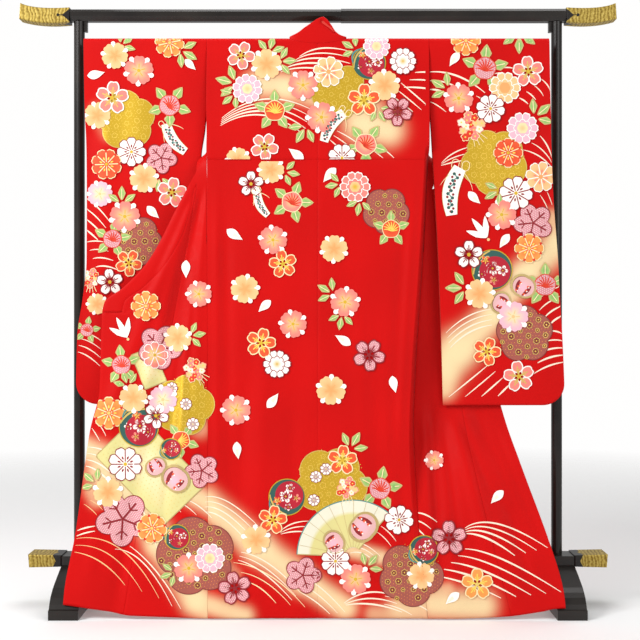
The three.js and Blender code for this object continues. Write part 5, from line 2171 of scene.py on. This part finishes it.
@dataclass(frozen=True)
class SilkFinish:
    """Dyed crepe silk: its colour is the cloth's own dye, with a faint woven figure in its gloss."""

    name: str = "dyed_crepe_silk"
    thread: float = 900.0
    figure: float = 26.0
    roughness: float = 0.56
    sheen: float = 0.02
    specular: float = 0.10

    def make(self) -> bpy.types.Material:
        """Build the material from the piece's own dye and flat map.

        Returns:
            The material.
        """
        g = Graph(self.name)
        dye = g.add("Attribute", attribute_name="dye").outputs["Color"]
        flat = g.add("UVMap", uv_map="flat").outputs[0]
        grain = g.add("TexNoise", {"Vector": flat, "Scale": self.thread, "Detail": 2.0}).outputs[0]
        figure = g.add("TexVoronoi", {"Vector": flat, "Scale": self.figure}, feature="SMOOTH_F1").outputs[0]
        woven = g.ramp(figure, (0.30, 0.0), (0.36, 1.0), (0.44, 1.0), (0.52, 0.0))
        shade = g.ramp(grain, (0.3, 0.86), (0.7, 1.0))
        colour = g.add("Mix", data_type="RGBA", blend_type="MULTIPLY")
        g.put(colour.inputs[0], 1.0)
        g.put(colour.inputs[6], dye)
        g.put(colour.inputs[7], shade)
        g.bump(g.math("ADD", grain, g.math("MULTIPLY", woven, 0.5)), 0.25, 0.0006)
        rough = g.math("SUBTRACT", self.roughness, g.math("MULTIPLY", woven, 0.05))
        return g.set(Base_Color=colour.outputs[2], Roughness=rough, Sheen_Weight=self.sheen,
                     Sheen_Roughness=0.4, Specular_IOR_Level=self.specular)


@dataclass(frozen=True)
class PatternFinish:
    """Dye or gold foil of the motifs, with the silk's grain under it."""

    name: str
    grain: float
    detail: float
    strength: float
    depth: float
    roughness: float
    specular: float
    sheen: float = 0.0
    metallic: float = 0.0

    def make(self) -> bpy.types.Material:
        """Build the material from the pattern's own colours.

        Returns:
            The material.
        """
        g = Graph(self.name)
        dye = g.add("Attribute", attribute_name="dye").outputs["Color"]
        flat = g.add("UVMap", uv_map="flat").outputs[0]
        grain = g.add("TexNoise", {"Vector": flat, "Scale": self.grain, "Detail": self.detail}).outputs[0]
        g.bump(grain, self.strength, self.depth)
        return g.set(Base_Color=dye, Roughness=self.roughness, Sheen_Weight=self.sheen, Metallic=self.metallic,
                     Specular_IOR_Level=self.specular)


@dataclass(frozen=True)
class Lacquer:
    """Black lacquer: a deep gloss coat over a dark ground with the slightest unevenness."""

    name: str = "black_lacquer"
    roughness: float = 0.26
    coat: float = 0.18
    specular: float = 0.25

    def make(self) -> bpy.types.Material:
        """Build the material on object coordinates.

        Returns:
            The material.
        """
        g = Graph(self.name)
        place = g.add("TexCoord").outputs["Object"]
        drift = g.add("TexNoise", {"Vector": place, "Scale": 9.0, "Detail": 3.0}).outputs[0]
        g.bump(drift, 0.05, 0.002)
        ground = g.ramp(drift, (0.35, (0.010, 0.008, 0.007)), (0.7, (0.019, 0.015, 0.012)))
        return g.set(Base_Color=ground, Coat_Weight=self.coat, Coat_Roughness=0.08,
                     Roughness=g.math("ADD", self.roughness, g.math("MULTIPLY", drift, 0.1)),
                     Specular_IOR_Level=self.specular)


@dataclass(frozen=True)
class Gilt:
    """Gilt end cap: embossed gold that the black lacquer enters as one point on each face."""

    name: str
    point: float
    axis_z: float
    slope: float
    keyhole: float

    def make(self) -> bpy.types.Material:
        """Build the material on object coordinates: lacquer inside the pointed border, gold beyond it.

        Returns:
            The material.
        """
        g = Graph(self.name)
        place = g.add("TexCoord").outputs["Object"]
        axes = g.add("SeparateXYZ", {0: place}).outputs
        along = g.math("ABSOLUTE", axes[0])
        off_z = g.math("ABSOLUTE", g.math("SUBTRACT", axes[2], self.axis_z))
        aside = g.math("MINIMUM", g.math("ABSOLUTE", axes[1]), off_z)
        border = g.math("SUBTRACT", self.point, g.math("MULTIPLY", aside, self.slope))
        gold = g.math("GREATER_THAN", along, border)
        outward = g.math("SUBTRACT", along, self.point + 2.6 * self.keyhole)
        squares = (g.math("MULTIPLY", aside, aside), g.math("MULTIPLY", outward, outward))
        from_hole = g.math("SQRT", g.math("ADD", *squares))
        gold = g.math("MULTIPLY", gold, g.math("GREATER_THAN", from_hole, self.keyhole))
        neck = g.math("MULTIPLY", g.math("LESS_THAN", aside, 0.3 * self.keyhole), g.math("LESS_THAN", outward, 0.0))
        gold = g.math("MULTIPLY", gold, g.math("SUBTRACT", 1.0, neck))
        cells = g.add("TexVoronoi", {"Vector": place, "Scale": 150.0}, feature="F1").outputs[0]
        scroll = g.add("TexWave", {"Vector": place, "Scale": 30.0, "Distortion": 9.0, "Detail": 2.0}).outputs[0]
        relief = g.math("ADD", g.math("MULTIPLY", cells, 0.4), g.math("MULTIPLY", scroll, 0.4))
        # Gold tone follows the embossed relief: darker in its hollows, lighter on its raised parts.
        relief_tone = g.ramp(relief, (0.12, (0.20, 0.12, 0.015)), (0.45, (0.44, 0.31, 0.06)), (0.8, (0.60, 0.46, 0.13)))
        g.bump(g.math("MULTIPLY", relief, gold), 0.5, 0.0010)
        return g.set(Base_Color=g.blend(gold, (0.012, 0.010, 0.009), relief_tone), Metallic=g.math("MULTIPLY", gold, 0.5),
                     Roughness=g.math("ADD", 0.30, g.math("MULTIPLY", gold, 0.15)), Specular_IOR_Level=0.3)


@dataclass(frozen=True)
class Steel:
    """Dark drawn steel of the rod and its bracket."""

    name: str = "dark_steel"
    metallic: float = 0.9
    roughness: float = 0.35

    def make(self) -> bpy.types.Material:
        """Build the material: fine marks along the rod.

        Returns:
            The material.
        """
        g = Graph(self.name)
        place = g.add("TexCoord").outputs["Object"]
        run = g.add("Mapping", {"Vector": place, "Scale": (4.0, 300.0, 300.0)}).outputs[0]
        marks = g.add("TexNoise", {"Vector": run, "Scale": 3.0, "Detail": 2.0}).outputs[0]
        tone = g.ramp(marks, (0.3, (0.10, 0.10, 0.105)), (0.7, (0.19, 0.19, 0.20)))
        g.bump(marks, 0.1, 0.0003)
        return g.set(Base_Color=tone, Metallic=self.metallic, Roughness=self.roughness)


@dataclass(frozen=True)
class SoftLight:
    """A square area light aimed at the middle of the cloth: place in metres, power in watts, size in metres."""

    x: float
    y: float
    z: float
    power: float
    size: float

    def hang(self, name: str) -> None:
        """Add the light to the scene.

        Args:
            name: name of the light and its holder.
        """
        lamp = bpy.data.lights.new(name, "AREA")
        lamp.energy, lamp.size = self.power, self.size
        holder = bpy.data.objects.new(name, lamp)
        bpy.context.scene.collection.objects.link(holder)
        holder.location = (self.x, self.y, self.z)
        aim = Vector(LIT_PLACE) - holder.location
        holder.rotation_euler = aim.to_track_quat("-Z", "Y").to_euler()


# Where the lights aim, the lights, the floor's half side, the surround's light and the camera's sensor
LIT_PLACE = (0, -0.1, 0.9)
SOFT_LIGHTS = table(SoftLight, (-3.2, -2.6, 3.0, 165, 1.7), (2.8, -3.0, 2.2, 42, 2.2), (0.3, 0.6, 3.6, 40, 2.0))
FLOOR_HALF = 6000.0
SURROUND_LIGHT = 0.50
SENSOR = 36.0


def lay_floor() -> None:
    """Lay the pale floor, which fades out before its edge."""
    x, y = np.meshgrid(np.array([-FLOOR_HALF, FLOOR_HALF]), np.array([-FLOOR_HALF, FLOOR_HALF]))
    floor = new_mesh("floor", np.stack([x, y, 0 * x], axis=2).reshape(-1, 3), [grid_faces(2, 2)])
    g = Graph("floor_paper")
    place = g.add("TexCoord").outputs["Object"]
    away = g.add("VectorMath", {0: place}, operation="LENGTH").outputs["Value"]
    solid = g.ramp(g.math("DIVIDE", away, FLOOR_HALF * MM), (0.30, 1.0), (0.75, 0.0))
    floor.data.materials.append(g.set(Base_Color=(0.9, 0.9, 0.9, 1), Roughness=0.9, Specular_IOR_Level=0.1,
                                      Alpha=solid))


def whiten_surround() -> None:
    """Set a surround that lights softly and looks white to the camera."""
    world = bpy.data.worlds.new("studio")
    world.use_nodes = True
    tree = world.node_tree
    seen = tree.nodes.new("ShaderNodeLightPath").outputs["Is Camera Ray"]
    light = tree.nodes.new("ShaderNodeMapRange")
    light.inputs["To Min"].default_value, light.inputs["To Max"].default_value = SURROUND_LIGHT, 1.0
    tree.links.new(seen, light.inputs["Value"])
    tree.nodes["Background"].inputs[0].default_value = (1.0, 0.995, 0.99, 1)
    tree.links.new(light.outputs[0], tree.nodes["Background"].inputs[1])
    bpy.context.scene.world = world


def place_camera(view: PhotoFrame) -> None:
    """Stand the camera where the photograph was taken.

    Args:
        view: the photograph's frame.
    """
    camera = bpy.data.cameras.new("camera")
    camera.lens, camera.sensor_width = SENSOR * view.focal / view.pixels, SENSOR
    camera.clip_start, camera.clip_end = 0.1, 30
    camera.dof.use_dof = False
    holder = bpy.data.objects.new("camera", camera)
    bpy.context.scene.collection.objects.link(holder)
    holder.location = np.array([view.x, view.y, view.z]) * MM
    holder.rotation_euler = (math.pi / 2, 0, 0)
    bpy.context.scene.camera = holder


def stage(view: PhotoFrame) -> None:
    """Set the floor, the white surround, the soft lights and the photograph's camera.

    Args:
        view: the photograph's frame.
    """
    lay_floor()
    whiten_surround()
    for number, light in enumerate(SOFT_LIGHTS):
        light.hang(f"soft_{number}")
    place_camera(view)
    bpy.context.scene.view_settings.view_transform = "Standard"


def main() -> None:
    """Build the cloth, finish the stand and set the stage."""
    cloth = Cloth(SilkFinish().make())
    for side in SIDES:
        Back(side, flat=(0.33, 1.68), area=0.53).build(cloth)
        FrontStrip(side, Strip.FRONT, flat=(0.29, 1.68), area=0.22, columns=34).build(cloth)
        FrontStrip(side, Strip.OVERLAP, flat=(0.17, 1.23), area=0.15, columns=22).build(cloth)
        FrontStrip(side, Strip.COLLAR, flat=(0.06, 0.82), area=0.035, columns=10, bulge=0.8).build(cloth)
        Sleeve(side, flat=(0.36, 2.16), area=0.76).build(cloth)
    NeckCollar(flat=(0.17, 0.14), area=0.014).build(cloth)
    paint = PatternFinish("motif_dye", grain=700.0, detail=2.0, strength=0.2, depth=0.0005, roughness=0.6,
                          specular=0.3, sheen=0.15).make()
    foil = PatternFinish("gold_foil", grain=420.0, detail=3.0, strength=0.35, depth=0.0006, roughness=0.42,
                         specular=0.5, metallic=0.55).make()
    for canvas in canvases():
        canvas.lay(paint, foil)
    finishes = {
        ("top_bar", "post", "base_plank", "foot", "cleat"): Lacquer().make(),
        ("top_cap",): Gilt("top_gilt", point=0.757, axis_z=1.742, slope=1.2, keyhole=0.0045).make(),
        ("base_cap",): Gilt("base_gilt", point=0.771, axis_z=0.131, slope=-0.5, keyhole=0.0).make(),
        ("hanger_rod", "rod_bracket"): Steel().make(),
    }
    for stems, finish in finishes.items():
        for name in (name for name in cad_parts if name.startswith(stems)):
            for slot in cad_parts[name].material_slots:
                slot.material = finish
            LOG.info("%s: %s", name, finish.name)
    stage(VIEW)


if __name__ == "__main__":
    logging.basicConfig(level=logging.INFO)
    main()
